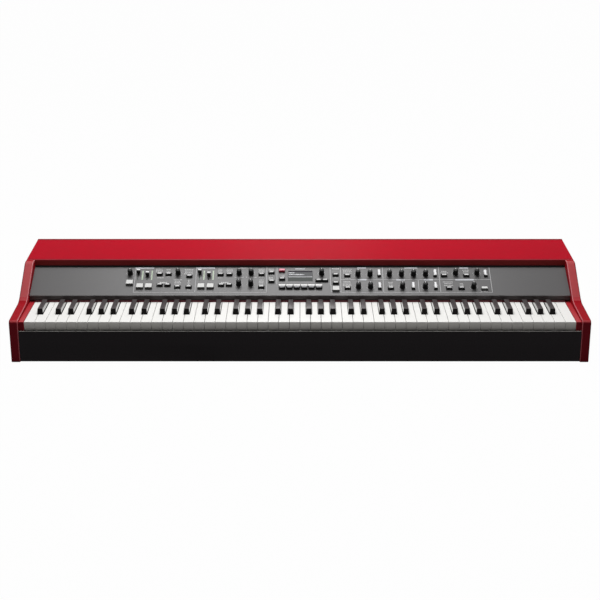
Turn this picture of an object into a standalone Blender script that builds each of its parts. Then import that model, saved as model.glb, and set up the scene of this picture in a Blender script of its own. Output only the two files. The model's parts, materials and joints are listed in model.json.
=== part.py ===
"""Stage piano with 88 hinged keys, a sloping control panel, two end cheeks and a flat lid.

Lengths are in metres. X runs along the keyboard, Y from the player to the back, Z up.
The case has its own frame: Y is 0 at the front face, Z is 0 at the underside of the case.
"""

import math

import bmesh
import bpy
from mathutils import Matrix, Vector

MM = 0.001

# Clearances
SEAT_GAP = 0.3 * MM
SIDE_GAP = 0.5 * MM

# Case
CASE_DEPTH = 380 * MM
CHEEK_THICKNESS = 20 * MM
FOOT_HEIGHT = 5 * MM
FOOT_RADIUS = 17 * MM
FOOT_TAPER = 0.94
FOOT_INSET_X = 85 * MM
FOOT_INSET_Y = 45 * MM
BOTTOM_THICKNESS = 2 * MM
SHEET = 2 * MM

# Lid
LID_FRONT_Y = 230 * MM
LID_TOP_FRONT = 166 * MM
LID_TOP_REAR = 173 * MM
LID_THICKNESS = 15 * MM
LID_EDGE_RADIUS = 2 * MM

# Cheek outline
CHEEK_FRONT_HEIGHT = 96.5 * MM
CHEEK_FRONT_RADIUS = 9 * MM
CHEEK_FRONT_ARC = (math.radians(160), math.radians(92))
CHEEK_ARM_START_Y = 100 * MM
CHEEK_ARM_START_Z = 100.5 * MM
CHEEK_ARM_RADIUS = 55 * MM
CHEEK_ARM_TOP_RADIUS = 22 * MM
CHEEK_ARM_ANGLE = math.radians(36)
CHEEK_LID_SETBACK = 13 * MM

# Keyboard
KEY_TOP = 92 * MM
KEY_FRONT_Y = 5 * MM
WHITE_PITCH = 23.56 * MM
WHITE_GAP = 1.06 * MM
WHITE_FRONT_HEIGHT = 19.6 * MM
WHITE_HEAD_LENGTH = 49 * MM
WHITE_DEPTH = 14 * MM
WHITE_SKIRT = 4 * MM
WHITE_EDGE = 1 * MM
BLACK_BASE_WIDTH = 13 * MM
BLACK_TOP_WIDTH = 10 * MM
BLACK_HEIGHT = 12.5 * MM
BLACK_LENGTH = 80.5 * MM
BLACK_FRONT_SLOPE = 3.5 * MM
BLACK_SIDE_CLEARANCE = 0.6 * MM
BLACK_FRONT_CLEARANCE = 0.9 * MM
BLACK_STEM_INSET = 0.4 * MM
BLACK_EDGE = 1 * MM
PIVOT_DISTANCE = 215 * MM
PIVOT_DROP = 9 * MM
HINGE_STRIP_LENGTH = 12 * MM
HINGE_STRIP_BEHIND = 4 * MM
HINGE_STRIP_THICKNESS = 6 * MM
HINGE_STRIP_OFFSET = 1.2 * MM
WHITE_TRAVEL = math.radians(2.7)

# Key slip and end blocks
SLIP_THICKNESS = 4.2 * MM
SLIP_TOP_BELOW_KEYS = 20.5 * MM
SLIP_FLANGE = 5.8 * MM
BLOCK_TO_KEY = 1 * MM
BLOCK_WIDTH = 11.67 * MM
BLOCK_UNDER_PANEL = 4.7 * MM

# Keybed frame
KEYBED_SHEET = 2 * MM
GUIDE_RAIL_DEPTH = 15 * MM
GUIDE_RAIL_SETBACK = 2 * MM
GUIDE_RAIL_CLEARANCE = 0.6 * MM
BOARD_RAIL_Y = 100 * MM
BOARD_RAIL_DEPTH = 50 * MM
BOARD_RAIL_HEIGHT = 50 * MM
HINGE_LEDGE = 2.6 * MM

# Control panel
PANEL_LOW_Y = 141 * MM
PANEL_LOW_Z = 107.2 * MM
PANEL_SHEET = 2.5 * MM
PANEL_FLANGE = 16 * MM
LIP_SETBACK = 4.3 * MM
LIP_THICKNESS = 2 * MM
FELT_HEIGHT = 2.2 * MM
FELT_BEFORE_LIP = 7.3 * MM
FELT_BEHIND_LIP = 6 * MM
FELT_KEY_GAP = 0.4 * MM

# Controls on the panel
KNOB_RADIUS = 6.3 * MM
KNOB_TOP_RADIUS = 5.5 * MM
KNOB_HEIGHT = 14 * MM
KNOB_LIFT = 0.6 * MM
SHAFT_RADIUS = 3 * MM
KNOB_CHAMFER = 1 * MM
POINTER_WIDTH = 1.4 * MM
POINTER_PROUD = 0.8 * MM
POINTER_OVERHANG = 0.2 * MM
TONE_KNOBS = 4

FADER_SLOT_WIDTH = 2.6 * MM
FADER_CAP_WIDTH = 9.5 * MM
FADER_CAP_LENGTH = 10 * MM
FADER_CAP_HEIGHT = 12 * MM
FADER_STEM_LENGTH = 5 * MM

BUTTON_WIDTH = 14.8 * MM
BUTTON_LENGTH = 8 * MM
NARROW_BUTTON_WIDTH = 8.5 * MM
WIDE_BUTTON_WIDTH = 16.4 * MM
PROGRAM_BUTTON_WIDTH = 15.8 * MM
BUTTON_HEIGHT = 4.5 * MM
BUTTON_LIFT = 1 * MM
BUTTON_WEDGE = 1.8 * MM
BUTTON_LEAN = 0.5 * MM
BUTTON_TRAVEL = 0.6 * MM
WIDE_BUTTON_LENGTH = 14 * MM
STORE_BUTTON_LENGTH = 9.8 * MM
STEM_WIDTH = 5 * MM
STEM_LENGTH = 3 * MM
PROGRAM_BUTTONS = 6

DISPLAY_WIDTH = 57.4 * MM
DISPLAY_HEIGHT = 33 * MM
DISPLAY_GLASS = 1.7 * MM

# Boards inside
PANEL_BOARD_DROP = 12.4 * MM
PCB = 1.6 * MM
CONTROL_BLOCK_TOP = 3.9 * MM
CONTROL_BLOCK = 11 * MM
PANEL_BOSS_RADIUS = 3.5 * MM
STANDOFF_HEIGHT = 7 * MM
STANDOFF_RADIUS = 4 * MM
CONTACT_BOARD_INSET = 6 * MM
CONTACT_BOARD_MARGIN = 2 * MM
CONTACT_STRIP_WIDTH = 8 * MM
CONTACT_STRIP_HEIGHT = 4.8 * MM
HEAT_SINK = (40 * MM, 40 * MM, 12 * MM)
CHIP = (24 * MM, 24 * MM, 3 * MM)
CHIPS = 4
CAPACITOR_RADIUS = 6 * MM
CAPACITOR_HEIGHT = 14 * MM
COMPONENT_PITCH = 40 * MM
TRANSFORMER = (35 * MM, 40 * MM, 32 * MM)
TRANSFORMER_OFFSET = 27.5 * MM
SUPPLY_CAPACITOR_RADIUS = 11 * MM
SUPPLY_CAPACITOR_HEIGHT = 28 * MM
SUPPLY_CAPACITOR_PLACE = (25 * MM, 18 * MM)

# Back
REAR_SETBACK = 4 * MM
REAR_FLANGE = 14 * MM
CONNECTOR_HEIGHT = 45 * MM
JACK_PLATE_MARGIN = 10 * MM
JACK_PLATE_HALF_HEIGHT = 18 * MM
JACKS = 9
JACK_RADIUS = 7 * MM
JACK_BORE_RADIUS = 3.3 * MM
JACK_BODY_DEPTH = 26 * MM
JACK_PROUD = 2 * MM
DIN_RADIUS = 10 * MM
DIN_BORE_RADIUS = 7.5 * MM
DIN_DEPTH = 9 * MM
USB_OUTER = (14 * MM, 13 * MM)
USB_INNER = (8.6 * MM, 8 * MM)
USB_DEPTH = 12 * MM
INLET_OUTER = (30 * MM, 22 * MM)
INLET_INNER = (24.5 * MM, 16.5 * MM)
INLET_DEPTH = 16 * MM
INLET_BODY_DEPTH = 22 * MM
INLET_PIN = (2 * MM, 4 * MM)
INLET_PIN_LENGTH = 10.5 * MM
INLET_PIN_PITCH = 7 * MM
INLET_PIN_DROP = 1 * MM
INLET_EARTH_RISE = 2 * MM
INLET_RIM = 2 * MM
SWITCH_HOLE = (14 * MM, 22 * MM)
SWITCH_DEPTH = 15 * MM
SWITCH_PROUD = 3 * MM
SWITCH_HOLLOW = 2 * MM
SWITCH_EDGE = 1 * MM

# First and last of the keys that move alone, and of each set that moves on one strip
KEY_COUNT = 88
SINGLE_KEYS = ("C4", "B4")
KEY_SETS = (("A0", "B1"), ("C2", "B3"), ("C5", "B6"), ("C7", "C8"))
NOTE_NAMES = ("C", "Csharp", "D", "Dsharp", "E", "F", "Fsharp", "G", "Gsharp", "A", "Asharp", "B")
FIRST_NOTE = NOTE_NAMES.index("A")
BLACK_NOTES = (1, 3, 6, 8, 10)

# Values worked out from the above
WHITE_KEYS = sum((key + FIRST_NOTE) % 12 not in BLACK_NOTES for key in range(KEY_COUNT))
KEYBOARD_WIDTH = WHITE_PITCH * WHITE_KEYS - WHITE_GAP
HALF_INSIDE = KEYBOARD_WIDTH / 2 + BLOCK_TO_KEY + BLOCK_WIDTH + SEAT_GAP
CASE_WIDTH = 2 * (HALF_INSIDE + CHEEK_THICKNESS)
LID_BOTTOM_FRONT = LID_TOP_FRONT - LID_THICKNESS
LID_RISE = (LID_TOP_REAR - LID_TOP_FRONT) / (CASE_DEPTH - LID_FRONT_Y)
PIVOT_Y = KEY_FRONT_Y + PIVOT_DISTANCE
PIVOT_Z = KEY_TOP - PIVOT_DROP
PANEL_TOP_Y = LID_FRONT_Y
PANEL_TOP_Z = LID_BOTTOM_FRONT - SEAT_GAP
PANEL_ANGLE = math.atan2(PANEL_TOP_Z - PANEL_LOW_Z, PANEL_TOP_Y - PANEL_LOW_Y)
NOTCH_WIDTH = BLACK_BASE_WIDTH + 2 * BLACK_SIDE_CLEARANCE
REAR_Y = CASE_DEPTH - REAR_SETBACK
FLOOR_Z = BOTTOM_THICKNESS + SEAT_GAP

# Parts of the width, depth and slope, in which the places below are given
ACROSS = HALF_INSIDE / 625
INWARD = (REAR_Y - PIVOT_Y) / 156
UP = math.hypot(PANEL_TOP_Y - PANEL_LOW_Y, PANEL_TOP_Z - PANEL_LOW_Z) / 99.06

# Places of the controls, as X from the middle and S up the slope from the panel's lower edge
KNOB_ROW_HIGH = 72 * UP
KNOB_ROW_EFFECT_HIGH = 68.4 * UP
KNOB_ROW_LOW = 36.2 * UP
KNOB_ROW_EFFECT_LOW = 27.2 * UP
VOLUME_X = -398 * ACROSS
DIAL_X = 50.7 * ACROSS
TONE_KNOB_FIRST_X = 209.5 * ACROSS
TONE_KNOB_PITCH = 28.2 * ACROSS
FADER_SLOT_LOW = 50 * UP
FADER_SLOT_LENGTH = 33 * UP
FADER_PAIRS_X = (-379.3 * ACROSS, -235.5 * ACROSS)
FADER_PITCH = 21.6 * ACROSS
FADER_REST = (74.5 * UP, 67 * UP, 74.5 * UP, 65.5 * UP)
PROGRAM_FIRST_X = -41.6 * ACROSS
PROGRAM_PITCH = 17.1 * ACROSS
PROGRAM_ROW = 27 * UP
STORE_BUTTON = (-42.3 * ACROSS, 81.4 * UP)
DISPLAY_CENTRE = (0.8 * ACROSS, 63.7 * UP)
PANEL_BOARD_X = (-420 * ACROSS, 455 * ACROSS)
PANEL_BOARD_S = (8 * UP, 88 * UP)
PANEL_BOSS_X = (-300 * ACROSS, -100 * ACROSS, 120 * ACROSS, 330 * ACROSS)
PANEL_BOSS_S = 48 * UP

# Places inside the case and at the back
MAIN_BOARD_X = (-430 * ACROSS, 230 * ACROSS)
MAIN_BOARD_Y = (PIVOT_Y + 30 * INWARD, PIVOT_Y + 125 * INWARD)
SUPPLY_X = (440 * ACROSS, 580 * ACROSS)
SUPPLY_Y = (PIVOT_Y + 25 * INWARD, PIVOT_Y + 115 * INWARD)
JACK_PLATE_X = (-440 * ACROSS, 240 * ACROSS)
JACK_FIRST_X = -400 * ACROSS
JACK_PITCH = 52 * ACROSS
DIN_X = (74 * ACROSS, 126 * ACROSS)
USB_X = 180 * ACROSS
INLET_X = 510 * ACROSS
SWITCH_X = 560 * ACROSS

# Colours as seen, red green blue from 0 to 1
LACQUER_RED = (0.55, 0.02, 0.035)
DEEP_RED = (0.30, 0.012, 0.02)
PANEL_GREY = (0.20, 0.195, 0.195)
SHEET_BLACK = (0.012, 0.011, 0.012)
KEY_IVORY = (0.80, 0.79, 0.76)
KEY_BLACK = (0.025, 0.023, 0.022)
FELT_RED = (0.10, 0.02, 0.025)
KNOB_BLACK = (0.02, 0.02, 0.02)
BUTTON_PALE = (0.65, 0.65, 0.64)
BUTTON_RED = (0.60, 0.03, 0.06)
GLASS_GREY = (0.12, 0.12, 0.125)
BOARD_GREEN = (0.02, 0.10, 0.04)
STEEL = (0.45, 0.45, 0.46)
RUBBER = (0.02, 0.02, 0.02)


def clear_scene():
    for thing in list(bpy.data.objects):
        bpy.data.objects.remove(thing, do_unlink=True)


def new_collection(name):
    collection = bpy.data.collections.new(name)
    bpy.context.scene.collection.children.link(collection)
    return collection


clear_scene()
PARTS = new_collection("stage_piano")
CUTTERS = new_collection("cutters")


def material(name, colour, roughness, metallic=0.0):
    made = bpy.data.materials.new(name)
    made.use_nodes = True
    shader = made.node_tree.nodes["Principled BSDF"]
    shader.inputs["Base Color"].default_value = (*colour, 1.0)
    shader.inputs["Roughness"].default_value = roughness
    shader.inputs["Metallic"].default_value = metallic
    made.diffuse_color = (*colour, 1.0)
    return made


def empty(name, location=(0, 0, 0), angle_x=0.0, parent=None):
    thing = bpy.data.objects.new(name, None)
    thing.empty_display_size = 20 * MM
    thing.location = location
    thing.rotation_euler = (angle_x, 0, 0)
    thing.parent = parent
    PARTS.objects.link(thing)
    return thing


CASE = empty("case_frame", (0, -CASE_DEPTH / 2, FOOT_HEIGHT))
PANEL = empty("panel_frame", (0, PANEL_LOW_Y, PANEL_LOW_Z), PANEL_ANGLE, CASE)


def add_part(name, mesh, look, parent=CASE):
    thing = bpy.data.objects.new(name, mesh)
    thing.parent = parent
    mesh.materials.clear()
    mesh.materials.append(look)
    PARTS.objects.link(thing)
    return thing


def add_tool(name, mesh, parent=CASE):
    """A shape that cuts or joins another and isn't a piece itself."""
    thing = bpy.data.objects.new(name, mesh)
    thing.parent = parent
    thing.hide_render = True
    thing.display_type = "WIRE"
    CUTTERS.objects.link(thing)
    return thing


def boolean(thing, tool, operation):
    modifier = thing.modifiers.new(tool.name, "BOOLEAN")
    modifier.object = tool
    modifier.operation = operation


def set_origin(thing, point):
    """Moves the origin to a point of the parent's frame and leaves the shape where it is."""
    point = Vector(point)
    thing.data.transform(Matrix.Translation(-point))
    thing.location = point


def extruded(name, outline, low, high, along="X"):
    """A mesh: the flat outline, drawn as (Y, Z) or (X, Y), drawn out along X or Z."""
    curve = bpy.data.curves.new(name, "CURVE")
    curve.dimensions = "2D"
    curve.fill_mode = "BOTH"
    curve.extrude = (high - low) / 2
    spline = curve.splines.new("POLY")
    spline.points.add(len(outline) - 1)
    for point, (u, v) in zip(spline.points, outline):
        point.co = (u, v, 0, 1)
    spline.use_cyclic_u = True
    drawn = bpy.data.objects.new(name, curve)
    CUTTERS.objects.link(drawn)
    graph = bpy.context.evaluated_depsgraph_get()
    mesh = bpy.data.meshes.new_from_object(drawn.evaluated_get(graph))
    bpy.data.objects.remove(drawn)
    mesh.name = name
    weld(mesh)
    middle = (low + high) / 2
    if along == "X":
        turn = Matrix(((0, 0, 1), (1, 0, 0), (0, 1, 0))).to_4x4()
        mesh.transform(Matrix.Translation((middle, 0, 0)) @ turn)
    else:
        mesh.transform(Matrix.Translation((0, 0, middle)))
    return mesh


def weld(mesh):
    form = bmesh.new()
    form.from_mesh(mesh)
    bmesh.ops.remove_doubles(form, verts=form.verts, dist=0.00001)
    bmesh.ops.recalc_face_normals(form, faces=form.faces)
    form.to_mesh(mesh)
    form.free()


def add_box(form, x, y, z, lean=None):
    """Adds a box to a bmesh from three (low, high) pairs. lean moves its top corners inwards."""
    made = bmesh.ops.create_cube(form, size=1.0)["verts"]
    for vert in made:
        upper = vert.co.z > 0
        sides = [vert.co.x > 0, vert.co.y > 0, upper]
        place = [pair[side] for pair, side in zip((x, y, z), sides)]
        if lean and upper:
            place[0] += -lean[0] if sides[0] else lean[0]
            place[1] += -lean[2] if sides[1] else lean[1]
        vert.co = place
    return made


def add_cylinder(form, centre, radius, low, high, axis="Z", sides=12, top_radius=None):
    """Adds a cylinder or cone along Z or Y, from low to high along its axis."""
    made = bmesh.ops.create_cone(
        form,
        cap_ends=True,
        segments=sides,
        radius1=radius,
        radius2=radius if top_radius is None else top_radius,
        depth=high - low,
    )["verts"]
    half_step = Matrix.Rotation(math.pi / sides, 4, "Z")
    middle = (low + high) / 2
    if axis == "Z":
        place = Matrix.Translation((centre[0], centre[1], middle)) @ half_step
    else:
        stand = Matrix.Rotation(-math.pi / 2, 4, "X")
        place = Matrix.Translation((centre[0], middle, centre[1])) @ stand @ half_step
    bmesh.ops.transform(form, matrix=place, verts=made)
    return made


def mesh_of(name, build):
    """A mesh from a function that fills a bmesh."""
    form = bmesh.new()
    build(form)
    bmesh.ops.recalc_face_normals(form, faces=form.faces)
    mesh = bpy.data.meshes.new(name)
    form.to_mesh(mesh)
    form.free()
    return mesh


def box_mesh(name, x, y, z, lean=None):
    return mesh_of(name, lambda form: add_box(form, x, y, z, lean))


def smooth(thing, angle=math.radians(35)):
    thing.data.shade_smooth()
    thing.data.set_sharp_from_angle(angle=angle)


def arc(centre, radius, start, end, steps):
    """Points on an arc in a flat outline, angles in radians from the first axis."""
    turns = [start + (end - start) * step / steps for step in range(steps + 1)]
    return [(centre[0] + radius * math.cos(t), centre[1] + radius * math.sin(t)) for t in turns]


def lid_bottom(y):
    return LID_BOTTOM_FRONT + LID_RISE * (y - LID_FRONT_Y)


def lid_top(y):
    return LID_TOP_FRONT + LID_RISE * (y - LID_FRONT_Y)


# Case


def make_lid(look):
    """A full-width board that rises a little to the back and rests on both cheeks."""
    edge = LID_EDGE_RADIUS
    outline = [
        (LID_FRONT_Y, LID_BOTTOM_FRONT),
        (LID_FRONT_Y, lid_top(LID_FRONT_Y) - edge / 2),
        (LID_FRONT_Y + edge / 2, lid_top(LID_FRONT_Y)),
    ]
    outline += arc(
        (CASE_DEPTH - edge, lid_top(CASE_DEPTH) - edge), edge, math.radians(85), 0, 3
    )
    outline.append((CASE_DEPTH, lid_bottom(CASE_DEPTH)))
    half = CASE_WIDTH / 2
    add_part("top_lid", extruded("top_lid", outline, -half, half), look)


def cheek_outline():
    """Side view of a cheek: a level arm rest, a sloping arm and the seat under the lid."""
    rise = (CHEEK_ARM_START_Z - CHEEK_FRONT_HEIGHT) / (CHEEK_ARM_START_Y - CHEEK_FRONT_RADIUS)
    outline = [(0, 0), (0, CHEEK_FRONT_HEIGHT - CHEEK_FRONT_RADIUS)]
    outline += arc(
        (CHEEK_FRONT_RADIUS, CHEEK_FRONT_HEIGHT - CHEEK_FRONT_RADIUS),
        CHEEK_FRONT_RADIUS,
        *CHEEK_FRONT_ARC,
        4,
    )
    level = math.atan(rise)
    outline += arc(
        (
            CHEEK_ARM_START_Y - CHEEK_ARM_RADIUS * math.sin(level),
            CHEEK_ARM_START_Z + CHEEK_ARM_RADIUS * math.cos(level),
        ),
        CHEEK_ARM_RADIUS,
        level - math.pi / 2,
        CHEEK_ARM_ANGLE - math.pi / 2,
        5,
    )
    top_y = LID_FRONT_Y - CHEEK_LID_SETBACK
    top_z = lid_top(LID_FRONT_Y)
    lid_slope = math.atan(LID_RISE)
    outline += arc(
        (
            top_y + CHEEK_ARM_TOP_RADIUS * math.sin(lid_slope),
            top_z - CHEEK_ARM_TOP_RADIUS,
        ),
        CHEEK_ARM_TOP_RADIUS,
        math.pi / 2 + CHEEK_ARM_ANGLE,
        math.pi / 2 + lid_slope,
        4,
    )
    seat = SEAT_GAP
    outline += [
        (LID_FRONT_Y - seat, top_z - LID_EDGE_RADIUS / 2),
        (LID_FRONT_Y - seat, lid_bottom(LID_FRONT_Y) - seat),
        (CASE_DEPTH, lid_bottom(CASE_DEPTH) - seat),
        (CASE_DEPTH, 0),
    ]
    return outline


def make_cheeks(look):
    outside = CASE_WIDTH / 2
    for side, low, high in (("left", -outside, -HALF_INSIDE), ("right", HALF_INSIDE, outside)):
        name = side + "_cheek"
        add_part(name, extruded(name, cheek_outline(), low, high), look)


def make_bottom(look):
    """The steel base, with standoffs for the two boards that stand on it."""
    reach = HALF_INSIDE - SEAT_GAP
    front = SLIP_THICKNESS + SEAT_GAP
    mesh = box_mesh("bottom_plate", (-reach, reach), (front, REAR_Y - SHEET), (0, BOTTOM_THICKNESS))
    plate = add_part("bottom_plate", mesh, look)
    inset = 2 * STANDOFF_RADIUS

    def standoffs(form):
        for xs, ys in ((MAIN_BOARD_X, MAIN_BOARD_Y), (SUPPLY_X, SUPPLY_Y)):
            for x in (xs[0] + inset, xs[1] - inset):
                for y in (ys[0] + inset, ys[1] - inset):
                    top = BOTTOM_THICKNESS + STANDOFF_HEIGHT
                    low = BOTTOM_THICKNESS / 2
                    add_cylinder(form, (x, y), STANDOFF_RADIUS, low, top, sides=8)

    boolean(plate, add_tool("standoffs", mesh_of("standoffs", standoffs)), "UNION")


def make_feet(look):
    x = CASE_WIDTH / 2 - FOOT_INSET_X
    places = {
        "foot_front_left": (-x, FOOT_INSET_Y),
        "foot_front_right": (x, FOOT_INSET_Y),
        "foot_rear_left": (-x, CASE_DEPTH - FOOT_INSET_Y),
        "foot_rear_right": (x, CASE_DEPTH - FOOT_INSET_Y),
    }
    for name, (foot_x, foot_y) in places.items():
        profile = [
            (0, -SEAT_GAP),
            (FOOT_RADIUS, -SEAT_GAP),
            (FOOT_RADIUS * FOOT_TAPER, -FOOT_HEIGHT),
            (0, -FOOT_HEIGHT),
        ]
        foot = add_part(name, turned_mesh(name, profile), look)
        foot.location = (foot_x, foot_y, 0)
        add_screw(foot, 20)


def turned_mesh(name, profile):
    """A line of edges for a Screw, down the outer side from top to bottom."""
    mesh = bpy.data.meshes.new(name)
    points = [(radius, 0, z) for radius, z in profile]
    mesh.from_pydata(points, [(i, i + 1) for i in range(len(points) - 1)], [])
    return mesh


def add_screw(thing, steps):
    modifier = thing.modifiers.new("turn", "SCREW")
    modifier.axis = "Z"
    modifier.steps = steps
    modifier.render_steps = steps
    modifier.use_merge_vertices = True
    modifier.merge_threshold = 0.00001


def make_slip(look):
    """The board below the keys: an upright sheet with a small foot on the bottom plate."""
    top = KEY_TOP - SLIP_TOP_BELOW_KEYS
    outline = [
        (0, 0),
        (SLIP_THICKNESS, 0),
        (SLIP_THICKNESS, FLOOR_Z),
        (SLIP_THICKNESS + SLIP_FLANGE, FLOOR_Z),
        (SLIP_THICKNESS + SLIP_FLANGE, FLOOR_Z + SHEET),
        (SLIP_THICKNESS, FLOOR_Z + SHEET),
        (SLIP_THICKNESS, top),
        (WHITE_EDGE, top),
        (0, top - WHITE_EDGE),
    ]
    reach = HALF_INSIDE - SEAT_GAP
    add_part("key_slip", extruded("key_slip", outline, -reach, reach), look)


def make_end_blocks(look):
    """The narrow blocks that fill the space between the outer keys and the cheeks."""
    inner = KEYBOARD_WIDTH / 2 + BLOCK_TO_KEY
    outer = HALF_INSIDE - SEAT_GAP
    step_y = SLIP_THICKNESS + SLIP_FLANGE + SEAT_GAP
    step_z = FLOOR_Z + SHEET + SEAT_GAP
    back = PANEL_LOW_Y + LIP_SETBACK + BLOCK_UNDER_PANEL
    outline = [
        (KEY_FRONT_Y, step_z),
        (step_y, step_z),
        (step_y, FLOOR_Z),
        (back, FLOOR_Z),
        (back, KEY_TOP),
        (KEY_FRONT_Y + WHITE_EDGE, KEY_TOP),
        (KEY_FRONT_Y, KEY_TOP - WHITE_EDGE),
    ]
    for side, low, high in (("left", -outer, -inner), ("right", inner, outer)):
        name = side + "_key_block"
        add_part(name, extruded(name, outline, low, high), look)


# Keyboard


def note_of(key):
    return (key + FIRST_NOTE) % 12


def key_name(key):
    return f"key_{NOTE_NAMES[note_of(key)]}{(key + FIRST_NOTE) // 12}"


def key_number(note):
    """Number of a key, 0 for the lowest, from its note and octave such as C4."""
    return NOTE_NAMES.index(note[:-1]) + 12 * int(note[-1]) - FIRST_NOTE


def white_left(key):
    """Left boundary of the pitch that a white key fills, or that starts at a black key's left white."""
    before = sum(note_of(other) not in BLACK_NOTES for other in range(key))
    return before * WHITE_PITCH - (KEYBOARD_WIDTH + WHITE_GAP) / 2


def black_centre(key):
    """Black keys share their group's width evenly with the white tails between them."""
    note = note_of(key)
    first, whites = (0, 3) if note < 5 else (5, 4)
    blacks = whites - 1
    tail = (whites * WHITE_PITCH - blacks * NOTCH_WIDTH) / whites
    place = (note - first + 1) // 2
    group_left = white_left(key) - place * WHITE_PITCH
    return group_left + place * tail + (place - 0.5) * NOTCH_WIDTH


def white_edges(key):
    """Head left and right, then tail left and right, of a white key."""
    head = (white_left(key) + WHITE_GAP / 2, white_left(key) + WHITE_PITCH - WHITE_GAP / 2)
    tail = list(head)
    if key > 0 and note_of(key - 1) in BLACK_NOTES:
        tail[0] = black_centre(key - 1) + NOTCH_WIDTH / 2
    if key < KEY_COUNT - 1 and note_of(key + 1) in BLACK_NOTES:
        tail[1] = black_centre(key + 1) - NOTCH_WIDTH / 2
    return head, tail


def white_plan(keys):
    """Plan of white keys that meet at one hinge strip, as one comb-like outline.

    It reaches past the side view at both ends, which trims it to length.
    """
    front = KEY_FRONT_Y - MM
    notch = KEY_FRONT_Y + WHITE_HEAD_LENGTH
    strip = strip_front() + SEAT_GAP
    outline = []
    for key in keys:
        head, tail = white_edges(key)
        outline.append((tail[0], strip))
        if tail[0] != head[0]:
            outline += [(tail[0], notch), (head[0], notch)]
        outline += [(head[0], front), (head[1], front)]
        if tail[1] != head[1]:
            outline += [(head[1], notch), (tail[1], notch)]
        outline.append((tail[1], strip))
    rear = PIVOT_Y + HINGE_STRIP_BEHIND + MM
    outline += [(outline[-1][0], rear), (outline[0][0], rear)]
    return outline


def strip_front():
    """Front edge of the hinge strips."""
    return PIVOT_Y + HINGE_STRIP_BEHIND - HINGE_STRIP_LENGTH


def white_profile():
    """Side view of a white key: lip, skirt, tail and the hinge strip above the axis."""
    strip_y = strip_front()
    low = PIVOT_Z + HINGE_STRIP_OFFSET
    high = low + HINGE_STRIP_THICKNESS
    front = KEY_FRONT_Y
    skirt = KEY_TOP - WHITE_FRONT_HEIGHT
    return [
        (front, KEY_TOP - WHITE_EDGE),
        (front + WHITE_EDGE * 0.8, skirt),
        (front + WHITE_SKIRT, skirt),
        (front + WHITE_SKIRT, KEY_TOP - WHITE_DEPTH),
        (strip_y - HINGE_STRIP_THICKNESS, KEY_TOP - WHITE_DEPTH),
        (strip_y - SIDE_GAP, low),
        (PIVOT_Y + HINGE_STRIP_BEHIND, low),
        (PIVOT_Y + HINGE_STRIP_BEHIND, high),
        (strip_y, high),
        (strip_y - 2 * WHITE_EDGE, KEY_TOP),
        (front + WHITE_EDGE, KEY_TOP),
    ]


def black_profile():
    """Side view of a black key's stem and of its hinge strip below the axis."""
    strip_y = strip_front()
    high = PIVOT_Z - HINGE_STRIP_OFFSET
    low = high - HINGE_STRIP_THICKNESS
    front = black_front() + BLACK_EDGE
    back = black_front() + BLACK_LENGTH - SIDE_GAP
    return [
        (front, KEY_TOP - WHITE_DEPTH),
        (strip_y - HINGE_STRIP_THICKNESS, KEY_TOP - WHITE_DEPTH),
        (strip_y, low),
        (PIVOT_Y + HINGE_STRIP_BEHIND - SIDE_GAP, low),
        (PIVOT_Y + HINGE_STRIP_BEHIND - SIDE_GAP, high),
        (strip_y - 3 * SIDE_GAP, high),
        (strip_y - HINGE_STRIP_THICKNESS, KEY_TOP - 2 * SIDE_GAP),
        (back, KEY_TOP - 2 * SIDE_GAP),
        (back, KEY_TOP + 2 * SIDE_GAP),
        (front, KEY_TOP + 2 * SIDE_GAP),
    ]


def black_front():
    return KEY_FRONT_Y + WHITE_HEAD_LENGTH + BLACK_FRONT_CLEARANCE


def black_plan(keys):
    """Plan of black stems that meet at one hinge strip."""
    half = BLACK_BASE_WIDTH / 2 - BLACK_STEM_INSET
    strip = strip_front() + SEAT_GAP
    outline = []
    for key in keys:
        left, right = black_centre(key) - half, black_centre(key) + half
        outline += [(left, strip), (left, black_front()), (right, black_front()), (right, strip)]
    rear = PIVOT_Y + HINGE_STRIP_BEHIND + MM
    outline += [(outline[-1][0], rear), (outline[0][0], rear)]
    return outline


def black_caps(form, keys):
    """The tapered playing surfaces of black keys."""
    front = black_front()
    y = (front, front + BLACK_LENGTH)
    z = (KEY_TOP, KEY_TOP + BLACK_HEIGHT)
    lean = ((BLACK_BASE_WIDTH - BLACK_TOP_WIDTH) / 2, BLACK_FRONT_SLOPE, 0)
    for key in keys:
        half = BLACK_BASE_WIDTH / 2
        made = add_box(form, (black_centre(key) - half, black_centre(key) + half), y, z, lean)
        top = [vert for vert in made if vert.co.z > KEY_TOP + BLACK_HEIGHT / 2]
        rims = {edge for vert in top for edge in vert.link_edges if edge.other_vert(vert) in top}
        rims = [edge for edge in rims if edge.verts[0].co.y + edge.verts[1].co.y < 1.9 * y[1]]
        bmesh.ops.bevel(form, geom=rims, offset=BLACK_EDGE, segments=1, affect="EDGES")


def keys_between(first, last, black):
    keys = range(key_number(first), key_number(last) + 1)
    return [key for key in keys if (note_of(key) in BLACK_NOTES) == black]


def make_keys(name, keys, black, look):
    """One moving piece: a single key, or the keys of a set on their common strip."""
    plan = black_plan(keys) if black else white_plan(keys)
    profile = black_profile() if black else white_profile()
    low, high = KEY_TOP - 2 * WHITE_FRONT_HEIGHT, KEY_TOP + BLACK_HEIGHT
    piece = add_part(name, extruded(name, plan, low, high, "Z"), look)
    side = plan[0][0] - WHITE_PITCH, plan[-2][0] + WHITE_PITCH
    section = extruded(name + "_section", profile, side[0], side[1])
    boolean(piece, add_tool(name + "_section", section), "INTERSECT")
    if black:
        caps = mesh_of(name + "_caps", lambda form: black_caps(form, keys))
        boolean(piece, add_tool(name + "_caps", caps), "UNION")
    middle = (plan[0][0] + plan[-2][0]) / 2
    set_origin(piece, (middle, PIVOT_Y, PIVOT_Z))


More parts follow.
